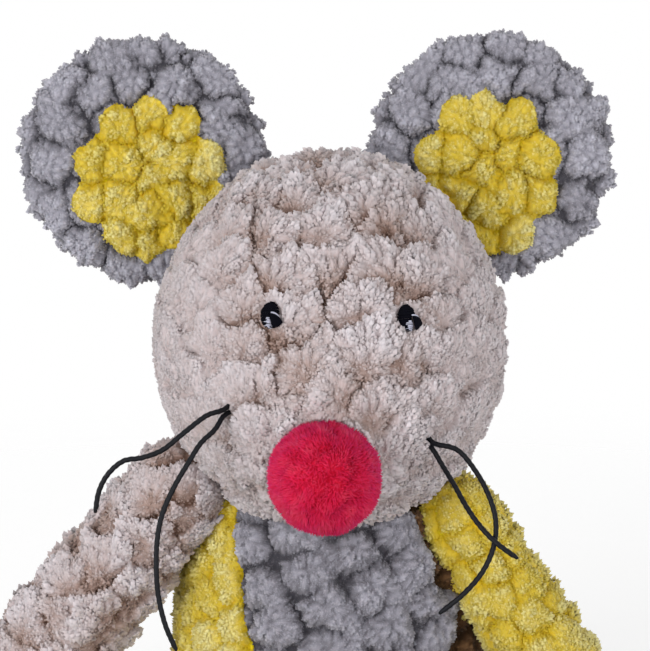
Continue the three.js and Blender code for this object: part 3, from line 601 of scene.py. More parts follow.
def soften(piece):
    """Shades each bud partly as the cloth under it, so that the pile reads as one soft surface."""
    mesh = piece.data
    ways = np.empty(len(mesh.vertices) * 3, np.float32)
    mesh.attributes["soft_way"].data.foreach_get("vector", ways)
    own = np.empty(len(mesh.vertices) * 3, np.float32)
    mesh.vertex_normals.foreach_get("vector", own)
    ways, own = ways.reshape(-1, 3), own.reshape(-1, 3)
    bare = np.linalg.norm(ways, axis=1) < 0.5
    ways[bare] = own[bare]
    tip = np.empty(len(mesh.vertices), np.float32)
    mesh.attributes["tip"].data.foreach_get("value", tip)
    ways = unit(ways) + own * np.where(tip > 0, BUD_SHARE, 0)[:, None]
    mesh.normals_split_custom_set_from_vertices(unit(ways))


# Node trees
def node(tree, kind, values=None, links=None, **settings):
    """Adds a node with its settings, socket values and links."""
    made = tree.nodes.new(kind)
    for name, value in settings.items():
        setattr(made, name, value)
    for socket, value in (values or {}).items():
        made.inputs[socket].default_value = value
    for socket, source in (links or {}).items():
        tree.links.new(source, made.inputs[socket])
    return made


def new_tree(name, inputs):
    """A Geometry Nodes tree with these inputs after its geometry, and their sockets."""
    tree = bpy.data.node_groups.new(name, "GeometryNodeTree")
    for label, kind in (("Geometry", "Geometry"),) + inputs:
        tree.interface.new_socket(name=label, in_out="INPUT", socket_type="NodeSocket" + kind)
    tree.interface.new_socket(name="Geometry", in_out="OUTPUT", socket_type="NodeSocketGeometry")
    return tree, node(tree, "NodeGroupInput").outputs


def end_tree(tree, geometry, material):
    """Ends a tree with a plain smooth mesh of this material."""
    for kind in ("GeometryNodeRealizeInstances", "GeometryNodeSetShadeSmooth"):
        geometry = node(tree, kind, links={0: geometry}).outputs[0]
    dressed = node(tree, "GeometryNodeSetMaterial", links={"Geometry": geometry, "Material": material})
    node(tree, "NodeGroupOutput", links={0: dressed.outputs[0]})


def pile_tree():
    """Pile on a cloth: the clumped ends of its fibres, as buds that lean with the nap and take the tone of
    their roots."""
    tree, given = new_tree("plush_pile", (
        ("Buds per square metre", "Float"), ("Bud length", "Float"), ("Bud width", "Float"),
        ("Scatter", "Float"), ("Seed", "Int"), ("Plush", "Material")))

    def stored(name, kind="FLOAT"):
        return node(tree, "GeometryNodeInputNamedAttribute", {"Name": name}, data_type=kind).outputs[0]

    def store(geometry, name, value, domain, kind="FLOAT"):
        return node(tree, "GeometryNodeStoreNamedAttribute", {"Name": name},
                    {"Geometry": geometry, "Value": value}, data_type=kind, domain=domain).outputs[0]

    def chance(low, high):
        return node(tree, "FunctionNodeRandomValue", {2: low, 3: high}, {"Seed": given["Seed"]},
                    data_type="FLOAT").outputs[1]

    def number(operation, a, b):
        return node(tree, "ShaderNodeMath", links={0: a, 1: b}, operation=operation).outputs[0]

    def vector(operation, links, values=None):
        return node(tree, "ShaderNodeVectorMath", values, links, operation=operation).outputs[0]

    tone = stored("tone")
    # One bud has six faces, told apart from root to tip
    bud = node(tree, "GeometryNodeMeshUVSphere", {"Segments": 3, "Rings": 2, "Radius": 0.5})
    bud = node(tree, "GeometryNodeTransform", {"Translation": (0, 0, 0.36), "Scale": (1.12, 1.12, 1)},
               {"Geometry": bud.outputs[0]})
    place = node(tree, "GeometryNodeInputPosition")
    along = node(tree, "ShaderNodeSeparateXYZ", links={0: place.outputs[0]})
    bud = store(bud.outputs[0], "tip", along.outputs[2], "POINT")
    # Roots
    wanted = number("MULTIPLY", given["Buds per square metre"], stored("cover"))
    roots = node(tree, "GeometryNodeDistributePointsOnFaces", distribute_method="RANDOM",
                 links={"Mesh": given["Geometry"], "Density": wanted, "Seed": given["Seed"]})
    # Lean and size
    stray = node(tree, "FunctionNodeRandomValue", {0: (-1, -1, -1), 1: (1, 1, 1)}, {"Seed": given["Seed"]},
                 data_type="FLOAT_VECTOR").outputs[0]
    lean = vector("SCALE", {0: stray, "Scale": given["Scatter"]})
    lean = vector("ADD", {0: lean, 1: stored("nap", "FLOAT_VECTOR")})
    turned = node(tree, "FunctionNodeAlignRotationToVector", links={"Vector": lean}, axis="Z")
    vary = number("MULTIPLY", chance(0.65, 1.3), stored("size"))
    wide = number("MULTIPLY", vary, given["Bud width"])
    tall = number("MULTIPLY", vary, given["Bud length"])
    size = node(tree, "ShaderNodeCombineXYZ", links={0: wide, 1: wide, 2: tall})
    buds = node(tree, "GeometryNodeInstanceOnPoints", links={
        "Points": roots.outputs[0], "Instance": bud, "Rotation": turned.outputs[0], "Scale": size.outputs[0]})
    # A bud keeps the way its cloth faces, leaning a little its own way, for its shading
    sway = vector("SCALE", {0: stray}, {"Scale": 0.25})
    sway = vector("NORMALIZE", {0: vector("ADD", {0: sway, 1: roots.outputs[1]})})
    buds = store(buds.outputs[0], "soft_way", sway, "INSTANCE", "FLOAT_VECTOR")
    # Each bud is painted lighter to its tip, as light falls on the tips and shade among the roots, and is a
    # little lighter or darker than the next
    buds = store(buds, "tone", number("ADD", tone, chance(-0.07, 0.03)), "INSTANCE")
    buds = node(tree, "GeometryNodeRealizeInstances", links={0: buds})
    lit = node(tree, "ShaderNodeMath", {1: 0.14}, {0: stored("tip"), 2: tone}, operation="MULTIPLY_ADD")
    buds = store(buds.outputs[0], "tone", lit.outputs[0], "POINT")
    whole = node(tree, "GeometryNodeJoinGeometry", links={0: given["Geometry"]})
    tree.links.new(buds, whole.inputs[0])
    end_tree(tree, whole.outputs[0], given["Plush"])
    return tree


PILE = pile_tree()


def grow_pile(piece, material, seed, buds, length, width, scatter):
    """Runs the pile tree on a piece and keeps the result as its plain mesh."""
    run_tree(piece, PILE, {
        "Buds per square metre": buds / MM ** 2, "Bud length": length * MM, "Bud width": width * MM,
        "Scatter": scatter, "Seed": seed, "Plush": material})
    soften(piece)


def run_tree(piece, tree, values):
    """Runs a node tree on a piece with these inputs, and keeps what it makes as the piece's plain mesh."""
    modifier = piece.modifiers.new(tree.name, "NODES")
    modifier.node_group = tree
    for socket in tree.interface.items_tree:
        if socket.in_out == "INPUT" and socket.name in values:
            modifier[socket.identifier] = values[socket.name]
    graph = bpy.context.evaluated_depsgraph_get()
    made = piece.evaluated_get(graph)
    mesh = bpy.data.meshes.new_from_object(made, preserve_all_data_layers=True, depsgraph=graph)
    piece.modifiers.clear()
    old, piece.data = piece.data, mesh
    bpy.data.meshes.remove(old)
    mesh.name = piece.name


def palette_map(piece):
    """A map for the piece's colours: across is the pile's tone, up is the height on the piece."""
    mesh = piece.data
    count = len(mesh.vertices)
    tone = np.empty(count, np.float32)
    mesh.attributes["tone"].data.foreach_get("value", tone)
    place = np.empty(count * 3, np.float32)
    mesh.vertices.foreach_get("co", place)
    height = place.reshape(-1, 3)[:, 2]
    height = (height - height.min()) / max(np.ptp(height), 1e-6)
    spot = np.stack([0.03 + 0.94 * np.clip(tone, 0, 1), 0.03 + 0.94 * height], 1)
    corner = np.empty(len(mesh.loops), np.int32)
    mesh.loops.foreach_get("vertex_index", corner)
    layer = mesh.uv_layers.new(name="OFBake")
    layer.data.foreach_set("uv", spot[corner].astype(np.float32).ravel())


# Colours and materials
def paint(code):
    """An sRGB hex colour as linear values."""
    parts = [int(code[i:i + 2], 16) / 255 for i in (1, 3, 5)]
    return tuple(c / 12.92 if c <= 0.04045 else ((c + 0.055) / 1.055) ** 2.4 for c in parts) + (1.0,)


def new_material(name, roughness, specular):
    """A material with its node tree and its shader."""
    material = bpy.data.materials.new(name)
    material.use_nodes = True
    shader = material.node_tree.nodes["Principled BSDF"]
    shader.inputs["Roughness"].default_value = roughness
    shader.inputs["Specular IOR Level"].default_value = specular
    return material, material.node_tree, shader


def grain(tree, size, detail):
    """Noise on the piece in lumps of this size in millimetres."""
    where = node(tree, "ShaderNodeTexCoord")
    return node(tree, "ShaderNodeTexNoise", {"Scale": 1 / (size * MM), "Detail": detail},
                {"Vector": where.outputs["Object"]})


def shade_between(tree, shader, level, dark, light, ends=(0.0, 1.0)):
    """Colours the shader from dark to light along a level."""
    ramp = node(tree, "ShaderNodeValToRGB", links={"Fac": level})
    for stop, position, colour in zip(ramp.color_ramp.elements, ends, (dark, light)):
        stop.position, stop.color = position, paint(colour)
    tree.links.new(ramp.outputs["Color"], shader.inputs["Base Color"])


def emboss(tree, shader, height, strength, depth):
    """Relief of this depth in millimetres."""
    bump = node(tree, "ShaderNodeBump", {"Strength": strength, "Distance": depth * MM}, {"Height": height})
    tree.links.new(bump.outputs["Normal"], shader.inputs["Normal"])


def plush_material(name, ground, valley, shade, body, tip, sheen):
    """Chenille plush: matt cut fibres in streaks along each tuft, the knit between them bare in the deepest
    gaps. Down in the valleys its colour is darker and richer with painted shade, and its tips are painted
    paler."""
    material, tree, shader = new_material(name, 0.95, 0.12)
    shader.inputs["Sheen Weight"].default_value = sheen
    shader.inputs["Sheen Roughness"].default_value = 0.6
    # Light goes about a millimetre into the pile
    shader.inputs["Subsurface Weight"].default_value = 0.35
    shader.inputs["Subsurface Radius"].default_value = (1.0, 0.85, 0.8)
    shader.inputs["Subsurface Scale"].default_value = 1.0 * MM
    tone = node(tree, "ShaderNodeAttribute", attribute_name="tone")
    # Fibres lie about 0.5 mm apart round the fan and run 3 mm along it, as coarse as they need to show
    fibre = node(tree, "ShaderNodeAttribute", attribute_name="fibre")
    laid = node(tree, "ShaderNodeVectorMath", {1: (2.0, 0.33, 1.0)}, {0: fibre.outputs["Vector"]},
                operation="MULTIPLY")
    strand = node(tree, "ShaderNodeTexNoise", {"Scale": 1.0, "Detail": 2.0}, {"Vector": laid.outputs[0]})
    shift = node(tree, "ShaderNodeMath", {1: 0.34, 2: -0.17}, {0: strand.outputs["Fac"]},
                 operation="MULTIPLY_ADD")
    level = node(tree, "ShaderNodeMath", links={0: tone.outputs["Fac"], 1: shift.outputs[0]}, operation="ADD")
    ramp = node(tree, "ShaderNodeValToRGB", links={"Fac": level.outputs[0]})
    bar = ramp.color_ramp
    bar.elements[0].position, bar.elements[0].color = 0.0, paint(ground)
    bar.elements[1].position, bar.elements[1].color = 0.95, paint(tip)
    for position, colour in ((0.1, valley), (0.32, shade), (0.62, body)):
        bar.elements.new(position).color = paint(colour)
    tree.links.new(ramp.outputs["Color"], shader.inputs["Base Color"])
    emboss(tree, shader, strand.outputs["Fac"], 0.5, 0.25)
    return material


# For each plush: the bare knit, then the pile from its valleys to its tips, and its sheen. The valley and
# shade colours carry painted shade, the tip colour painted light
PLUSH_LOOKS = {
    "beige": ("beige_chenille_plush", "#64493c", "#6f5346", "#9f887f", "#c0b2b2", "#d6cdd1", 0.15),
    # Shaded beige: the beige plush with its shade painted in, darker and browner, for the torso's left side
    # panel
    "shaded_beige": ("beige_chenille_plush_painted_shade", "#33210f", "#3b2814", "#5b4028", "#7a5a3c", "#957352", 0.1),
    "grey": ("grey_chenille_plush", "#47454c", "#525057", "#7a7880", "#a09ea8", "#bdbbc7", 0.15),
    "yellow": ("yellow_chenille_plush", "#dccc14", "#d2b012", "#d8b724", "#d5bb42", "#ebde96", 0.08),
    "red": ("crimson_cut_pile", "#a00520", "#a8061f", "#cc0f31", "#e01a40", "#ea3152", 0.0),
}
MATERIALS = {colour: plush_material(*looks) for colour, looks in PLUSH_LOOKS.items()}


# Pieces
def dress(piece, body, part):
    """Puts a piece on its body, in place of a solid, which it hides."""
    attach(piece, body)
    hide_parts(part)


def plush_piece(part, body, kind, colour, form, cloth, keep, seed):
    """The plush that stands for one solid, with its pile."""
    piece = panel_piece(f"{part}_plush", form, cloth, keep)
    pile = PLUSH[kind]
    few, big = COARSE if part.startswith(AWAY) else (1.0, 1.0)
    grow_pile(piece, MATERIALS[colour], seed, pile["buds"] * few, pile["length"] * big, pile["width"] * big,
              pile["scatter"])
    palette_map(piece)
    dress(piece, body, part)


def ring_count(girth, grid=GRID):
    return max(12, round(girth / grid))


# Whiskers: waxed cord of three twisted strands
def waxed_material():
    """Waxed cotton cord: near black, its wax leaves a low gloss along the twist."""
    material, tree, shader = new_material("waxed_cotton_cord", 0.5, 0.15)
    shade_between(tree, shader, grain(tree, 0.8, 3.0).outputs["Fac"], "#050608", "#16171d")
    return material


WAXED = waxed_material()


def whisker(name, cheek, sit, points):
    way = unit(np.array(cheek))
    side = unit(np.cross([0, 0, 1.0], way))
    lift = unit(np.cross(way, side)) * sit * WHISKER_SIT
    reach = head_reach(way[None])[0]
    start = [way * (reach + rise) + lift for rise in WHISKER_START]
    line = through(start + [np.array(p) for p in points], WHISKER_POINTS) + HEAD_AT
    fine = through(line, WHISKER_ROWS)
    along = unit(np.gradient(fine, axis=0))
    across = [unit(np.cross(along[0], [0, 0, 1.0]))]
    for a in along[1:]:
        across.append(unit(across[-1] - a * (across[-1] @ a)))
    across = np.array(across)
    upward = np.cross(along, across)
    turn = np.arange(WHISKER_SIDES) * 2 * math.pi / WHISKER_SIDES
    run = np.concatenate([[0], np.cumsum(np.linalg.norm(np.diff(fine, axis=0), axis=1))])
    rows = [fine[:1]]
    for i, p in enumerate(fine):
        taper = BEVEL_END + (1 - BEVEL_END) * min((run[-1] - run[i]) / BEVEL, 1)
        lobed = WHISKER_D / 2 * taper * (1 + STRAND_DEPTH * np.cos(STRANDS * (turn + run[i] * CORD_TWIST)))
        ring = p + across[i] * (np.cos(turn) * lobed)[:, None]
        rows.append(ring + upward[i] * (np.sin(turn) * lobed)[:, None])
    rows.append(fine[-1:] + along[-1] * TIP_ROUND)
    form = rings_form(rows)
    piece = object_from(name + "_cord", mesh_from(name, form["points"], [form["quads"], form["triangles"]]))
    piece.data.materials.append(WAXED)
    dress(piece, "head", name)


for whisker_name, (cheek, sit, points) in WHISKERS.items():
    whisker(whisker_name, cheek, sit, points)


# Head: the two faces and the back of one ball
def eye_way(side):
    turn, up = math.radians(EYE_OUT[side]), math.radians(EYE_UP[side])
    return np.array([math.sin(turn) * math.cos(up), -math.cos(turn) * math.cos(up), math.sin(up)])


def head_point(share, turn):
    tilt, a = share * math.pi, turn * 2 * math.pi + math.pi
    way = np.array([math.sin(a) * math.sin(tilt), -math.cos(a) * math.sin(tilt), math.cos(tilt)])
    return way * head_reach(way[None])[0] + HEAD_AT


def make_head():
    tilts = np.linspace(0, math.pi, ring_count(HEAD_RUN, HEAD_GRID))
    turns = np.linspace(0, 2 * math.pi, ring_count(2 * math.pi * HEAD_R, HEAD_GRID), endpoint=False) + math.pi
    form = rings_form([ways * head_reach(ways)[:, None] + HEAD_AT for ways in ball_ways(tilts, turns, -1)])
    way_round = lambda share: 2 * math.pi * HEAD_R * math.sin(share * math.pi)
    middles = bobble_rows(HEAD_RUN, way_round, head_point, "beige", 11)
    local = form["points"] - HEAD_AT
    ways = unit(local)
    calm = np.ones(len(local))
    for side in EYE_OUT:
        apart = np.arccos(np.clip(ways @ eye_way(side), -1, 1)) * FACE_R
        calm *= smooth((apart - EYE_BARE) / EYE_FADE)
    low = smooth((CLOSE_BELOW - local[:, 2]) / CLOSE_OVER)
    outward = smooth((np.abs(local[:, 0]) - CHEEK_OUT) / CHEEK_OVER)
    brow = BROW_OPEN * smooth((local[:, 2] - BROW_ABOVE) / BROW_OVER) * (1 - outward)
    # Low on the head and out on the cheeks the valleys close and the painted light and shade lie closer
    cloth = bobbled(form, middles, "beige", 21, calm, quiet=np.maximum(0.7 * low, outward),
                    shut=np.maximum(low, 0.6 * outward) - brow)
    press = outward * np.where(local[:, 0] < 0, CHEEK_PRESS["right"], CHEEK_PRESS["left"])
    rise = ((cloth["moved"] - form["points"]) * form["normals"]).sum(1)
    cloth["moved"] -= form["normals"] * (np.maximum(rise, 0) * press)[:, None]
    cloth["values"]["size"] *= 1 - 0.35 * outward
    # None lies under the nose, and little over the neck
    nose = np.degrees(np.arccos(np.clip(ways @ NOSE_WAY, -1, 1)))
    cloth["values"]["cover"] *= smooth((nose - 9) / 5) * (0.25 + 0.75 * smooth((local[:, 2] + 46) / 6))
    behind = lambda m: m[:, 1] - HEAD_AT[1] > HEAD_SEAM_Y
    for part, keep, seed in (
        ("face_right", lambda p, m: ~behind(m) & (m[:, 0] < 0), 31),
        ("face_left", lambda p, m: ~behind(m) & (m[:, 0] >= 0), 32),
        ("head_back", lambda p, m: behind(m), 33),
    ):
        plush_piece(part, "head", "beige", "beige", form, cloth, keep, seed)


make_head()


# Eyes: satin stitch in thread, a black oval with a white glint and a black petal over its lower corner
BLACK_R = 0.17
WHITE_R = 0.11
STITCH_STEP = 0.27
# How deep the stitches sit in the pile, and how far the dome under them spreads past the eye
EYE_SUNK = 0.3
DOME_SPREAD = 1.25
PETAL_ROOT = [(0.45, 0.15), (0.6, -1.0), (0.9, -2.1), (1.25, -3.0)]
PETAL_TIP = [(3.45, -1.75), (3.0, -2.35), (2.3, -2.85), (1.5, -3.2)]
PETAL_ARCH = 0.55
NOTCH_UP = 0.3
GLINT_AT = (-0.25, -2.05)
GLINT_HALF = (1.25, 1.45)
LIGHT_LINE = [(0.5, 0.55), (1.3, 0.5), (2.0, 0.2), (2.6, -0.4)]


def thread_material(name, colour, light):
    """Rayon embroidery thread: its straight shiny filaments give a soft gloss across the stitch."""
    material, tree, shader = new_material(name, 0.6, 0.04)
    # Filaments differ a little from one bundle of 0.3 mm to the next
    shade_between(tree, shader, grain(tree, 0.3, 2.0).outputs["Fac"], colour, light)
    return material


BLACK_THREAD = thread_material("black_embroidery_thread", "#020203", "#0b0b16")
WHITE_THREAD = thread_material("white_embroidery_thread", "#8f90a8", "#dcdce8")


def stitch_tree():
    """Satin stitch: each line becomes a round thread."""
    tree, given = new_tree("satin_stitch", (("Thread radius", "Float"), ("Thread", "Material")))
    line = node(tree, "GeometryNodeMeshToCurve", links={"Mesh": given["Geometry"]})
    section = node(tree, "GeometryNodeCurvePrimitiveCircle", {"Resolution": 6},
                   {"Radius": given["Thread radius"]})
    thread = node(tree, "GeometryNodeCurveToMesh", {"Fill Caps": True},
                  {"Curve": line.outputs[0], "Profile Curve": section.outputs[0]})
    end_tree(tree, thread.outputs[0], given["Thread"])
    return tree


STITCH = stitch_tree()


def stitched(part, lines, radius, material, side):
    """A piece of threads laid along lines of points in the eye's own frame: across, up and out of the
    head."""
    way = eye_way(side)
    across = unit(np.cross([0, 0, 1.0], way))
    upward = np.cross(way, across)
    centre = HEAD_AT + way * (head_reach(way[None])[0] - EYE_SUNK)
    points = np.vstack(lines)
    points = centre + points[:, :1] * across + points[:, 1:2] * upward + points[:, 2:] * way
    part = f"{part}_{side}"
    mesh = bpy.data.meshes.new(f"{part}_stitches")
    edges, start = [], 0
    for line in lines:
        edges += [(start + k, start + k + 1) for k in range(len(line) - 1)]
        start += len(line)
    mesh.from_pydata((points * MM).tolist(), edges, [])
    piece = object_from(mesh.name, mesh)
    run_tree(piece, STITCH, {"Thread radius": radius * MM, "Thread": material})
    dress(piece, "head", part)


def make_eye(side, seed):
    rng = np.random.default_rng(seed)
    wide, tall = EYE_WIDE / 2, EYE_TALL / 2

    def laid(flat, lift, pull=0.9):
        """Points of a thread on the eye's dome, with its two ends pulled down towards the cloth."""
        flat = np.array(flat)
        dome = 1 - (flat[:, 0] / (wide * DOME_SPREAD)) ** 2 - (flat[:, 1] / (tall * DOME_SPREAD)) ** 2
        out = EYE_SUNK + EYE_RISE * 0.85 * np.clip(dome, 0.05, 1) ** 0.5 + lift
        out[0] -= pull
        out[-1] -= pull
        return np.column_stack([flat, out])

    def across(left, right, up, lift):
        """A level thread from left to right."""
        steps = max(4, round((right - left) / 0.6))
        return laid([(x, up) for x in np.linspace(left, right, steps)], lift)

    black, white = [], []
    for up in np.arange(-tall, tall + 0.01, STITCH_STEP):
        half = wide * math.sqrt(max(1 - (up / tall) ** 2, 0.02))
        for layer in (0, 1):
            shift = rng.uniform(-0.16, 0.16, 2)
            right = half * 0.8 if up > NOTCH_UP else min(half, 0.9)
            level = up + rng.uniform(-0.06, 0.06)
            black.append(across(-half + shift[0], right + shift[1], level, -0.12 * layer))
        glint = 1 - ((up - GLINT_AT[1]) / GLINT_HALF[1]) ** 2
        if glint > 0:
            reach = GLINT_HALF[0] * math.sqrt(glint)
            left = max(GLINT_AT[0] - reach + rng.uniform(-0.6, 0.5), -half + 0.1)
            right = GLINT_AT[0] + reach + rng.uniform(0, 0.3)
            white.append(across(left, right, up + rng.uniform(-0.08, 0.08), 0.16))
    # The petal's threads run from its root down to its tip, arched, the topmost the longest
    root, tip = through(PETAL_ROOT, 13), through(PETAL_TIP, 13)
    for k, (a, b) in enumerate(zip(root, tip)):
        share = np.linspace(0, 1, 8)[:, None]
        bow = np.array([0.6, 0.8]) * PETAL_ARCH * (1 - k / 12) * np.sin(share * math.pi)
        black.append(laid(a + (b - a) * share + bow, 0.62 + rng.uniform(0, 0.06), 0.3))
    for slip in (0, 0.2):
        white.append(laid(through(LIGHT_LINE, 8) - (0, slip), 0.4, 0.3))
    stitched("eye", black, BLACK_R, BLACK_THREAD, side)
    stitched("eye_glint", white, WHITE_R, WHITE_THREAD, side)


make_eye("right", 51)
make_eye("left", 52)


# Nose: a pompom of short cut pile on a core, which is bare up to a reach from the head's middle, in the face
NOSE_PILE = 1.6
NOSE_ROWS = 44
NOSE_SIDES = 84
NOSE_BARE = 47
NOSE_FADE = 3


def make_nose():
    centre = HEAD_AT + NOSE_WAY * NOSE_REACH
    radius = NOSE_R - NOSE_PILE
    tilts = np.linspace(0, math.pi, NOSE_ROWS)
    turns = np.linspace(0, 2 * math.pi, NOSE_SIDES, endpoint=False)
    form = rings_form([centre + ways * radius for ways in ball_ways(tilts, turns, 1)])
    points, normals = form["points"], form["normals"]
    lump = ripple(points, 3.4, 41) * 0.25 + ripple(points, 1.6, 42) * 0.1
    moved = points + normals * lump[:, None]
    nap = unit(normals + np.stack([ripple(points, 2.4, 43 + k) for k in range(3)], 1) * 0.28)
    tone = np.clip(0.55 + 0.12 * ripple(points, 2.0, 47), 0.1, 1)
    cover = smooth(((points - HEAD_AT) @ NOSE_WAY - NOSE_BARE) / NOSE_FADE)
    mesh = mesh_from("nose_pompom_pile", moved, [form["quads"], form["triangles"]])
    fields = dict(tone=tone, size=np.ones(len(points)), nap=nap, fibre=points / 1.2, cover=cover)
    for field, value in fields.items():
        put_values(mesh, field, value)
    piece = object_from("nose_pompom_pile", mesh)
    grow_pile(piece, MATERIALS["red"], seed=48, buds=9.5, length=1.8, width=0.29, scatter=0.3)
    palette_map(piece)
    dress(piece, "head", "nose_pompom")


make_nose()


# Ears: a padded disc, grey round a yellow lobe in front and grey behind
def ear_frame(side):
    lean = EAR_LEAN[side]
    reach = math.sqrt(1 - (HEAD_SEAM_Y / HEAD_R) ** 2)
    reach = reach / math.hypot(math.sin(lean) / HEAD_R, math.cos(lean) / HEAD_HALF_TALL) + 0.3
    root = HEAD_AT + np.array([math.sin(lean) * reach, HEAD_SEAM_Y, math.cos(lean) * reach])
    turn = np.array(Matrix.Rotation(lean, 3, "Y"))
    return root, turn


def make_ear(side, seed):
    root, turn = ear_frame(side)
    reach, slide, drop = EAR_REACH[side], LOBE_SLIDE[side], LOBE_DROP[side]
    # Outline from the middle of the front, over the rim, to the middle of the back
    lean = np.linspace(0, math.pi, 400)
    share = np.sin(lean) ** 0.85
    thick = -np.sign(np.cos(lean)) * EAR_HALF_THICK * (1 - share ** 5) ** 0.45
    outline = through(np.stack([EAR_R * share, thick], 1)[::8], ring_count(2 * EAR_R + 10, EAR_GRID))
    girth = ring_count(2 * math.pi * EAR_R, EAR_GRID)
    angles = np.linspace(0, 2 * math.pi, girth, endpoint=False) + math.pi / 2
    rows = [np.stack([r * np.cos(angles), np.full(girth, y), reach + r * np.sin(angles)], 1)
            for r, y in outline]
    flat = rings_form(rows)
    form = dict(flat, points=flat["points"] @ turn.T + root, normals=flat["normals"] @ turn.T)

    def lobe_share(p):
        """How far out in the yellow lobe points lie: 1 at its edge."""
        q = (p - root) @ turn
        return np.hypot((q[:, 0] - slide) / LOBE_WIDE, (q[:, 2] - reach + drop) / LOBE_TALL)

    def in_lobe(p, m):
        """Which faces are in the yellow lobe, by their own and their bobbles' middles, so that bobbles
        scallop its edge."""
        return (lobe_share(m) < 1) & ((lobe_share(p) < LOBE_EVEN) | (np.linalg.norm(p - m, axis=1) < SCALLOP))

    front = lambda p: ((p - root) @ turn)[:, 1] < 0
    # Yellow bobbles in upright columns inside the lobe, grey ones round it, along the edge and in rows behind
    rng = np.random.default_rng(seed)
    spots = []
    for i in range(-2, 3):
        aside = i * COLUMN_STEP[side]
        half = LOBE_FILL * math.sqrt(1 - (i / COLUMN_SPAN) ** 2)
        for up in np.linspace(-half, half, round(2 * half / PLUSH["yellow"]["along"]) + 1):
            x, _, z = turn.T @ (np.array([aside, 0, up]) + rng.uniform(-0.5, 0.5, 3))
            spots.append((x + slide, -EAR_HALF_THICK, z + reach - drop))
    middles = [np.array(spot) for spot in spots]
    for k in range(ROUND_LOBE):
        a = (k + rng.uniform(-0.1, 0.1)) / ROUND_LOBE * 2 * math.pi
        x, z = (LOBE_WIDE + LOBE_CLEAR) * math.cos(a) + slide, (LOBE_TALL + LOBE_CLEAR) * math.sin(a) - drop
        spots.append((x, -EAR_HALF_THICK * 0.8, reach + z))
    for k in range(ROUND_EDGE):
        a = (k + rng.uniform(-0.1, 0.1)) / ROUND_EDGE * 2 * math.pi
        for inset, y, on in EDGE_BOBBLES:
            spots.append(((EAR_R - inset) * math.cos(a + on), y, reach + (EAR_R - inset) * math.sin(a + on)))
    for i, z in enumerate(np.arange(-2, 3) * EAR_ROW):
        for x in np.arange(-3, 4) * EAR_ACROSS + (EAR_ACROSS / 2 if i % 2 else 0.0):
            spots.append((x + rng.uniform(-1, 1), EAR_HALF_THICK, reach + z + rng.uniform(-1, 1)))
    for spot in np.array(spots[len(middles):]):
        inside = math.hypot(spot[0], spot[2] - reach) < EAR_R - 1
        if inside and all(np.linalg.norm(spot - m) > EAR_CLOSE for m in middles):
            middles.append(spot)
    middles = np.array(middles) @ turn.T + root
    grey = bobbled(form, middles, "rim", seed)
    gold = bobbled(form, middles, "yellow", seed, like=grey)
    for cloth in (grey, gold):
        cloth["values"]["cover"] *= smooth((flat["points"][:, 2] + 6) / 6)
    for part, kind, colour, cloth, keep, step in (
        ("ear_back", "rim", "grey", grey, lambda p, m: ~front(m), 1),
        ("ear_rim", "rim", "grey", grey, lambda p, m: front(m) & ~in_lobe(p, m), 2),
        ("ear_inner", "yellow", "yellow", gold, lambda p, m: front(m) & in_lobe(p, m), 3),
    ):
        plush_piece(f"{part}_{side}", f"ear_{side}", kind, colour, form, cloth, keep, seed + step)


make_ear("right", 60)
make_ear("left", 80)


# Torso
def seam_turn(height):
    """How far the torso's seams have turned, in degrees, at a height."""
    return -SEAM_TWIST * smooth((height - TWIST_FROM) / (TWIST_TO - TWIST_FROM))


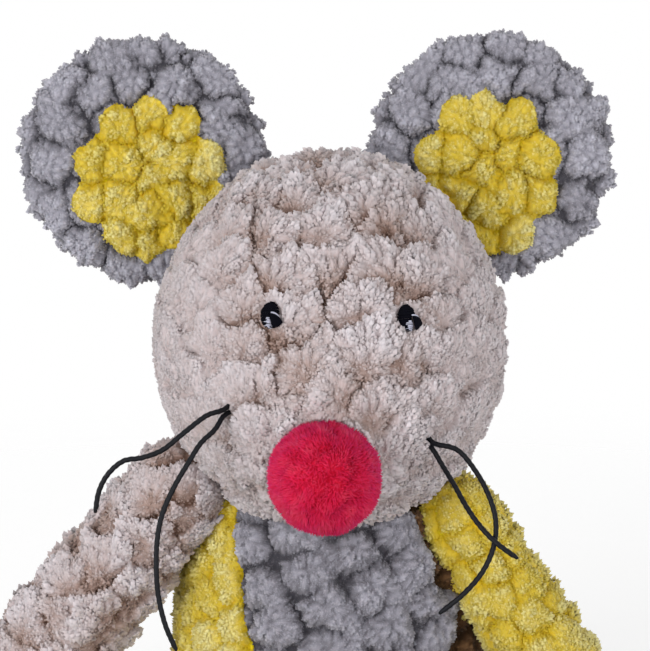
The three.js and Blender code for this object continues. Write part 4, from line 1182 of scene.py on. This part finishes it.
def make_torso():
    low, high = BODY_RINGS[0], BODY_RINGS[-1]
    control = [(0.02, 0.02, low[3], 0), (low[1] * 0.5, low[2] * 0.5, low[3], 0)]
    control += [(wide, deep, y, z) for z, wide, deep, y in BODY_RINGS]
    control += [(high[1] * 0.5, high[2] * 0.5, high[3], BODY_SHOULDER), (0.02, 0.02, high[3], BODY_TOP)]
    outline = through(control, ring_count(BODY_RUN))
    girth = ring_count(2 * math.pi * BODY_R)
    turns = np.linspace(0, 2 * math.pi, girth, endpoint=False) + math.pi
    rows = []
    for wide, deep, y, z in outline:
        level = np.full(girth, max(z, 0.0))
        rows.append(np.stack([wide * np.sin(turns), y - deep * np.cos(turns), level], 1))
    form = rings_form(rows)
    points = form["points"]

    def ring_point(share, turn):
        wide, deep, y, z = at_share(outline, share)
        a = turn * 2 * math.pi
        return np.array([wide * math.sin(a), y - deep * math.cos(a), max(z, 0.0)])

    # Columns of bobbles panel by panel, so that no bobble lies across a seam, every other column half a row
    # lower
    rng = np.random.default_rng(101)
    seams = [BELLY_SEAM_RIGHT, BELLY_SEAM_LEFT, BACK_SEAM, 360 - BACK_SEAM, 360 + BELLY_SEAM_RIGHT]
    rows = round(BODY_RUN / PLUSH["grey"]["along"])
    middles = []
    for i in range(rows):
        radius = max(at_share(outline[:, :2].mean(1, keepdims=True), (i + 0.5) / rows)[0],
                     COLUMN_R if i >= SEAT_ROWS else 0)
        for first, last, kind in zip(seams, seams[1:], ("grey", "grey", "grey", "yellow")):
            count = max(1, round(math.radians(last - first) * radius / PLUSH[kind]["across"]))
            for k in range(count):
                at = k + 0.5 + rng.uniform(-0.08, 0.08)
                level = (i + (0.25 if k % 2 else 0.75) + rng.uniform(-0.1, 0.1)) / rows
                turn = first + (last - first) * at / count + seam_turn(ring_point(level, 0)[2])
                middles.append(ring_point(level, turn / 360))
    middles = np.array(middles)

    def seam_angle(p):
        """Degrees round the torso from its front, turned with the seams, which waver a little."""
        turned = np.degrees(np.arctan2(p[:, 0], -p[:, 1])) - seam_turn(p[:, 2])
        return turned + SEAM_WAVER * ripple(p, SEAM_WAVE, 103)

    apart = np.abs(np.subtract.outer(seam_angle(points), seams) % 360)
    apart = np.minimum(apart, 360 - apart).min(1)
    seam = np.where(points[:, 2] > SEAT_SEAM, np.radians(apart) * np.hypot(points[:, 0], points[:, 1]), 99)
    grey = bobbled(form, middles, "grey", 102, seam=seam)
    gold = bobbled(form, middles, "yellow", 102, seam=seam, like=grey)
    head_near = np.linalg.norm(points - HEAD_AT, axis=1) - head_reach(unit(points - HEAD_AT))
    for cloth in (grey, gold):
        cloth["values"]["cover"] *= smooth((points[:, 2] - 0.5) / 5) * smooth((head_near + 1) / 3)
        cloth["moved"][:, 2] = np.maximum(cloth["moved"][:, 2], SEAT_UNDERSIDE)

    def panel(first, last):
        """Faces between two seams, above the seat and clear of the head."""
        def keep(p, m):
            clear = np.linalg.norm(p - HEAD_AT, axis=1) > head_reach(unit(p - HEAD_AT)) - 1.5
            return (p[:, 2] > SEAT_SEAM) & ((seam_angle(p) - first) % 360 < (last - first) % 360) & clear
        return keep

    for part, kind, colour, cloth, keep, seed in (
        ("belly_panel", "grey", "grey", grey, panel(BELLY_SEAM_RIGHT, BELLY_SEAM_LEFT), 111),
        # The left side panel is beige plush in painted shade
        ("side_panel_left", "grey", "shaded_beige", grey, panel(BELLY_SEAM_LEFT, BACK_SEAM), 112),
        ("back_panel", "grey", "grey", grey, panel(BACK_SEAM, 360 - BACK_SEAM), 113),
        ("side_panel_right", "yellow", "yellow", gold, panel(360 - BACK_SEAM, 360 + BELLY_SEAM_RIGHT), 114),
        ("seat_panel", "grey", "grey", grey, lambda p, m: p[:, 2] <= SEAT_SEAM, 115),
    ):
        plush_piece(part, "torso", kind, colour, form, cloth, keep, seed)


make_torso()


# Arms and legs: stuffed limbs with a ball at the root
def limb_outline(limb):
    root, rows, length, end = limb
    control = [(-root * math.sin(math.radians(a)), root * math.cos(math.radians(a)))
               for a in (90, 65, 40, 15)]
    control += rows
    control += [(length + end * math.sin(math.radians(a)), end * math.cos(math.radians(a)))
                for a in (8, 34, 62, 90)]
    run = sum(math.dist(a, b) for a, b in zip(control, control[1:]))
    return through(control, ring_count(run)), run


def press_down(form, cloth, flat):
    """Lays a form's flat part on the floor and lets nothing of it go lower."""
    cloth["moved"][form["points"][:, 2] < flat + 0.3, 2] = UNDERSIDE
    cloth["moved"][:, 2] = np.maximum(cloth["moved"][:, 2], UNDERSIDE)


def make_limb(limb, turn, root, kind, body, split, floor, seed):
    """A limb of two panels: split names the one in front or on top and the one behind or below."""
    outline, run = limb_outline(limb)
    widest = outline[:, 1].max()
    girth = ring_count(2 * math.pi * widest)
    angles = np.linspace(0, 2 * math.pi, girth, endpoint=False)
    rows = []
    for s, r in outline:
        rows.append(np.stack([r * np.cos(angles), r * np.sin(angles), np.full(girth, -s)], 1))
    plain = rings_form(rows)
    place = lambda p: p @ turn.T + root
    form = dict(plain, points=place(plain["points"]), normals=plain["normals"] @ turn.T)
    if floor:
        form["points"][:, 2] = np.maximum(form["points"][:, 2], LEG_FLAT)

    def ring_point(share, t):
        s, r = at_share(outline, share)
        return place(np.array([r * math.cos(t * 2 * math.pi), r * math.sin(t * 2 * math.pi), -s]))

    middles = bobble_rows(run, lambda q: 2 * math.pi * at_share(outline, q)[1], ring_point, kind, seed)
    # Bobbles are lower and the pile ends where the root lies in its socket
    s = -plain["points"][:, 2]
    cloth = bobbled(form, middles, kind, seed + 1, 0.35 + 0.65 * smooth((s + 4) / 16))
    cloth["values"]["cover"] = smooth((s + 12) / 5)
    if floor:
        cloth["values"]["cover"] *= smooth((form["points"][:, 2] - LEG_FLAT - 0.2) / 3)
        press_down(form, cloth, LEG_FLAT)
    for i, (part, sign) in enumerate(zip(split, (1, -1))):
        keep = lambda p, m: sign * ((m - root) @ turn)[:, 1] < 0
        plush_piece(part, body, kind, kind, form, cloth, keep, seed + 3 + i)


for side, sign, kind in (("right", -1, "beige"), ("left", 1, "yellow")):
    turn = np.array(Matrix.Rotation(math.radians(-sign * ARM_DROOP[side]), 3, "Y"))
    slim = ARM_SLIM[side]
    arm = (ARM[0] * slim, [(s, r * slim) for s, r in ARM[1]], ARM[2], ARM[3] * slim)
    make_limb(arm, turn, SHOULDER[side], kind, f"arm_{side}", (f"arm_front_{side}", f"arm_rear_{side}"),
              False, 130 + 10 * sign)
for side, sign, kind in (("right", -1, "yellow"), ("left", 1, "beige")):
    splay = Matrix.Rotation(math.radians(sign * LEG_SPLAY), 3, "Z")
    turn = np.array(splay @ Matrix.Rotation(-math.pi / 2, 3, "X"))
    make_limb(LEG, turn, HIP * (sign, 1, 1), kind, f"leg_{side}", (f"leg_top_{side}", f"leg_under_{side}"),
              True, 170 + 10 * sign)


# Tail
def make_tail():
    steps = ring_count(TAIL_RUN)
    path = through(TAIL_PATH, steps)
    along = unit(np.gradient(path, axis=0))
    side = np.cross(along, [0, 0, 1.0])
    radius = np.linspace(TAIL_ROOT_R, TAIL_TIP_R, steps)
    path = path + TAIL_AT
    path[:, 2] = radius - 0.5
    girth = ring_count(2 * math.pi * TAIL_ROOT_R)
    angles = np.linspace(0, 2 * math.pi, girth, endpoint=False)
    ends = np.radians([15, 35, 55, 75, 90])
    stops = [(0, -TAIL_ROOT_R * math.sin(a), TAIL_ROOT_R * math.cos(a)) for a in ends[::-1]]
    stops += [(i, 0, radius[i]) for i in range(steps)]
    stops += [(steps - 1, TAIL_TIP_R * math.sin(a), TAIL_TIP_R * math.cos(a)) for a in ends]
    rows = []
    for i, forward, r in stops:
        ring = np.cos(angles)[:, None] * side[i] + np.sin(angles)[:, None] * np.array([0, 0, 1.0])
        rows.append(path[i] + along[i] * forward + ring * r)
    form = rings_form(rows)
    form["points"][:, 2] = np.maximum(form["points"][:, 2], TAIL_FLAT)

    def ring_point(share, t):
        p, s = [np.array(at_share(field, share)) for field in (path, side)]
        a = t * 2 * math.pi
        ring = math.cos(a) * s + math.sin(a) * np.array([0, 0, 1.0])
        return p + at_share(radius[:, None], share)[0] * ring

    way_round = lambda share: 2 * math.pi * (TAIL_ROOT_R + (TAIL_TIP_R - TAIL_ROOT_R) * share)
    middles = bobble_rows(TAIL_RUN, way_round, ring_point, "grey", 201)
    cloth = bobbled(form, middles, "grey", 202, np.full(len(form["points"]), TAIL_CALM))
    cloth["values"]["cover"] *= smooth((form["points"][:, 2] - TAIL_FLAT - 0.1) / 2)
    press_down(form, cloth, TAIL_FLAT)
    whole = lambda p, m: np.ones(len(p), bool)
    plush_piece("tail_cover", "tail", "grey", "grey", form, cloth, whole, 203)


make_tail()


# What lies inside: filling, sachet and herb, neck tape and the cords' knots
def inner_material(name, dark, light, size, stretch, relief):
    """Colour and relief that follow a grain of this size in millimetres, drawn out along one axis."""
    material, tree, shader = new_material(name, 0.9, 0.2)
    where = node(tree, "ShaderNodeTexCoord")
    laid = node(tree, "ShaderNodeMapping", {"Scale": (1, 1, 1 / stretch)},
                {"Vector": where.outputs["Object"]})
    strand = node(tree, "ShaderNodeTexNoise", {"Scale": 1 / (size * MM), "Detail": 4.0, "Distortion": 1.5},
                  {"Vector": laid.outputs[0]})
    shade_between(tree, shader, strand.outputs["Fac"], dark, light, (0.3, 0.7))
    emboss(tree, shader, strand.outputs["Fac"], 0.6, relief)
    return material


def woven_material(name, dark, light, thread):
    """Plain weave: threads of this width in millimetres pass over and under each other and leave a fine
    check."""
    material, tree, shader = new_material(name, 0.85, 0.25)
    where = node(tree, "ShaderNodeTexCoord")
    weave = node(tree, "ShaderNodeTexChecker",
                 {"Scale": 1 / (thread * MM), "Color1": paint(dark), "Color2": paint(light)},
                 {"Vector": where.outputs["Object"]})
    tree.links.new(weave.outputs["Color"], shader.inputs["Base Color"])
    emboss(tree, shader, weave.outputs["Fac"], 0.5, 0.2)
    return material


# Crimped polyester fibre lies in loose strands about 1.2 mm wide; crushed leaf breaks into flakes of about
# 2 mm
INNER = {
    "polyester_fibre": inner_material("polyester_fibre_filling", "#d3d1ca", "#f1efe9", 1.2, 4.0, 0.4),
    "calico": woven_material("plain_weave_calico", "#c8bda3", "#ddd4be", 0.6),
    "dried_herb": inner_material("dried_crushed_leaf", "#4d5630", "#86905a", 2.0, 1.0, 0.8),
    "cotton_tape": woven_material("woven_cotton_tape", "#988b89", "#b0a4a1", 0.7),
    "waxed_cord": WAXED,
}
KEPT = ["head_stuffing", "body_stuffing_front", "body_stuffing_back", "tail_stuffing", "sachet_front",
        "sachet_back", "dried_catnip", "neck_gusset"]
KEPT += [f"{piece}_{side}" for piece in ("ear_wadding", "arm_stuffing", "leg_stuffing", "whisker_knot")
         for side in ("right", "left")]
SLOTS = {row["node"]: row["material_slot"] for row in frame["record"]["subparts"]}
for name in KEPT:
    for place in NODES[name].material_slots:
        place.material = INNER[SLOTS[name]]


# Studio: pale floor that fades into a white surround, soft light from the left. Lamps: name, size, power,
# place in metres
SOFTBOXES = [
    ("key_softbox", 0.8, 11.5, (-0.8, -1.1, 0.32)),
    ("fill_softbox", 0.9, 7.0, (0.85, -1.1, 0.1)),
    ("top_softbox", 0.8, 2.0, (-0.2, 0.2, 1.2)),
]
LIT_POINT = (0, 0, 0.11)
FLOOR_R = 700
FLOOR_Z = -0.2
FLOOR_SIDES = 64
# Where the floor begins to fade and where it has gone, in metres
FLOOR_FADE = (0.2, 0.55)


def make_studio():
    scene = bpy.context.scene
    scene.view_settings.view_transform = "Standard"
    world = bpy.data.worlds.new("studio")
    scene.world = world
    world.use_nodes = True
    tree = world.node_tree
    rays = node(tree, "ShaderNodeLightPath")
    # White where it is seen, and dimmer where it only gives light
    seen = rays.outputs["Is Camera Ray"]
    for ray in ("Is Glossy Ray", "Is Transmission Ray"):
        either = node(tree, "ShaderNodeMath", links={0: seen, 1: rays.outputs[ray]}, operation="MAXIMUM")
        seen = either.outputs[0]
    level = node(tree, "ShaderNodeMath", {1: 0.38, 2: 0.62}, {0: seen}, operation="MULTIPLY_ADD")
    back = tree.nodes["Background"]
    back.inputs["Color"].default_value = (1, 1, 1, 1)
    tree.links.new(level.outputs[0], back.inputs["Strength"])
    for name, size, power, place in SOFTBOXES:
        data = bpy.data.lights.new(name, "AREA")
        data.shape = "SQUARE"
        data.size = size
        data.energy = power
        lamp = bpy.data.objects.new(name, data)
        lamp.location = place
        lamp.rotation_mode = "QUATERNION"
        lamp.rotation_quaternion = (Vector(LIT_POINT) - Vector(place)).to_track_quat("-Z", "Y")
        scene.collection.objects.link(lamp)
    turns = np.linspace(0, 2 * math.pi, FLOOR_SIDES, endpoint=False)
    disc = np.stack([np.cos(turns) * FLOOR_R, np.sin(turns) * FLOOR_R, np.full(FLOOR_SIDES, FLOOR_Z)], 1)
    floor = object_from("studio_floor", mesh_from("studio_floor", disc, [np.arange(FLOOR_SIDES)[None]]))
    material, tree, shader = new_material("pale_floor", 0.9, 0.1)
    shader.inputs["Base Color"].default_value = (0.82, 0.82, 0.82, 1)
    rays = node(tree, "ShaderNodeLightPath")
    lift = node(tree, "ShaderNodeMath", {1: 0.3}, {0: rays.outputs["Is Camera Ray"]}, operation="MULTIPLY")
    shader.inputs["Emission Color"].default_value = (1, 1, 1, 1)
    tree.links.new(lift.outputs[0], shader.inputs["Emission Strength"])
    where = node(tree, "ShaderNodeTexCoord")
    out = node(tree, "ShaderNodeVectorMath", links={0: where.outputs["Object"]}, operation="LENGTH")
    fade = node(tree, "ShaderNodeMapRange", {1: FLOOR_FADE[0], 2: FLOOR_FADE[1]}, {0: out.outputs["Value"]},
                interpolation_type="SMOOTHSTEP")
    clear = node(tree, "ShaderNodeBsdfTransparent")
    mixed = node(tree, "ShaderNodeMixShader",
                 links={0: fade.outputs[0], 1: shader.outputs[0], 2: clear.outputs[0]})
    tree.links.new(mixed.outputs[0], tree.nodes["Material Output"].inputs["Surface"])
    floor.data.materials.append(material)


make_studio()
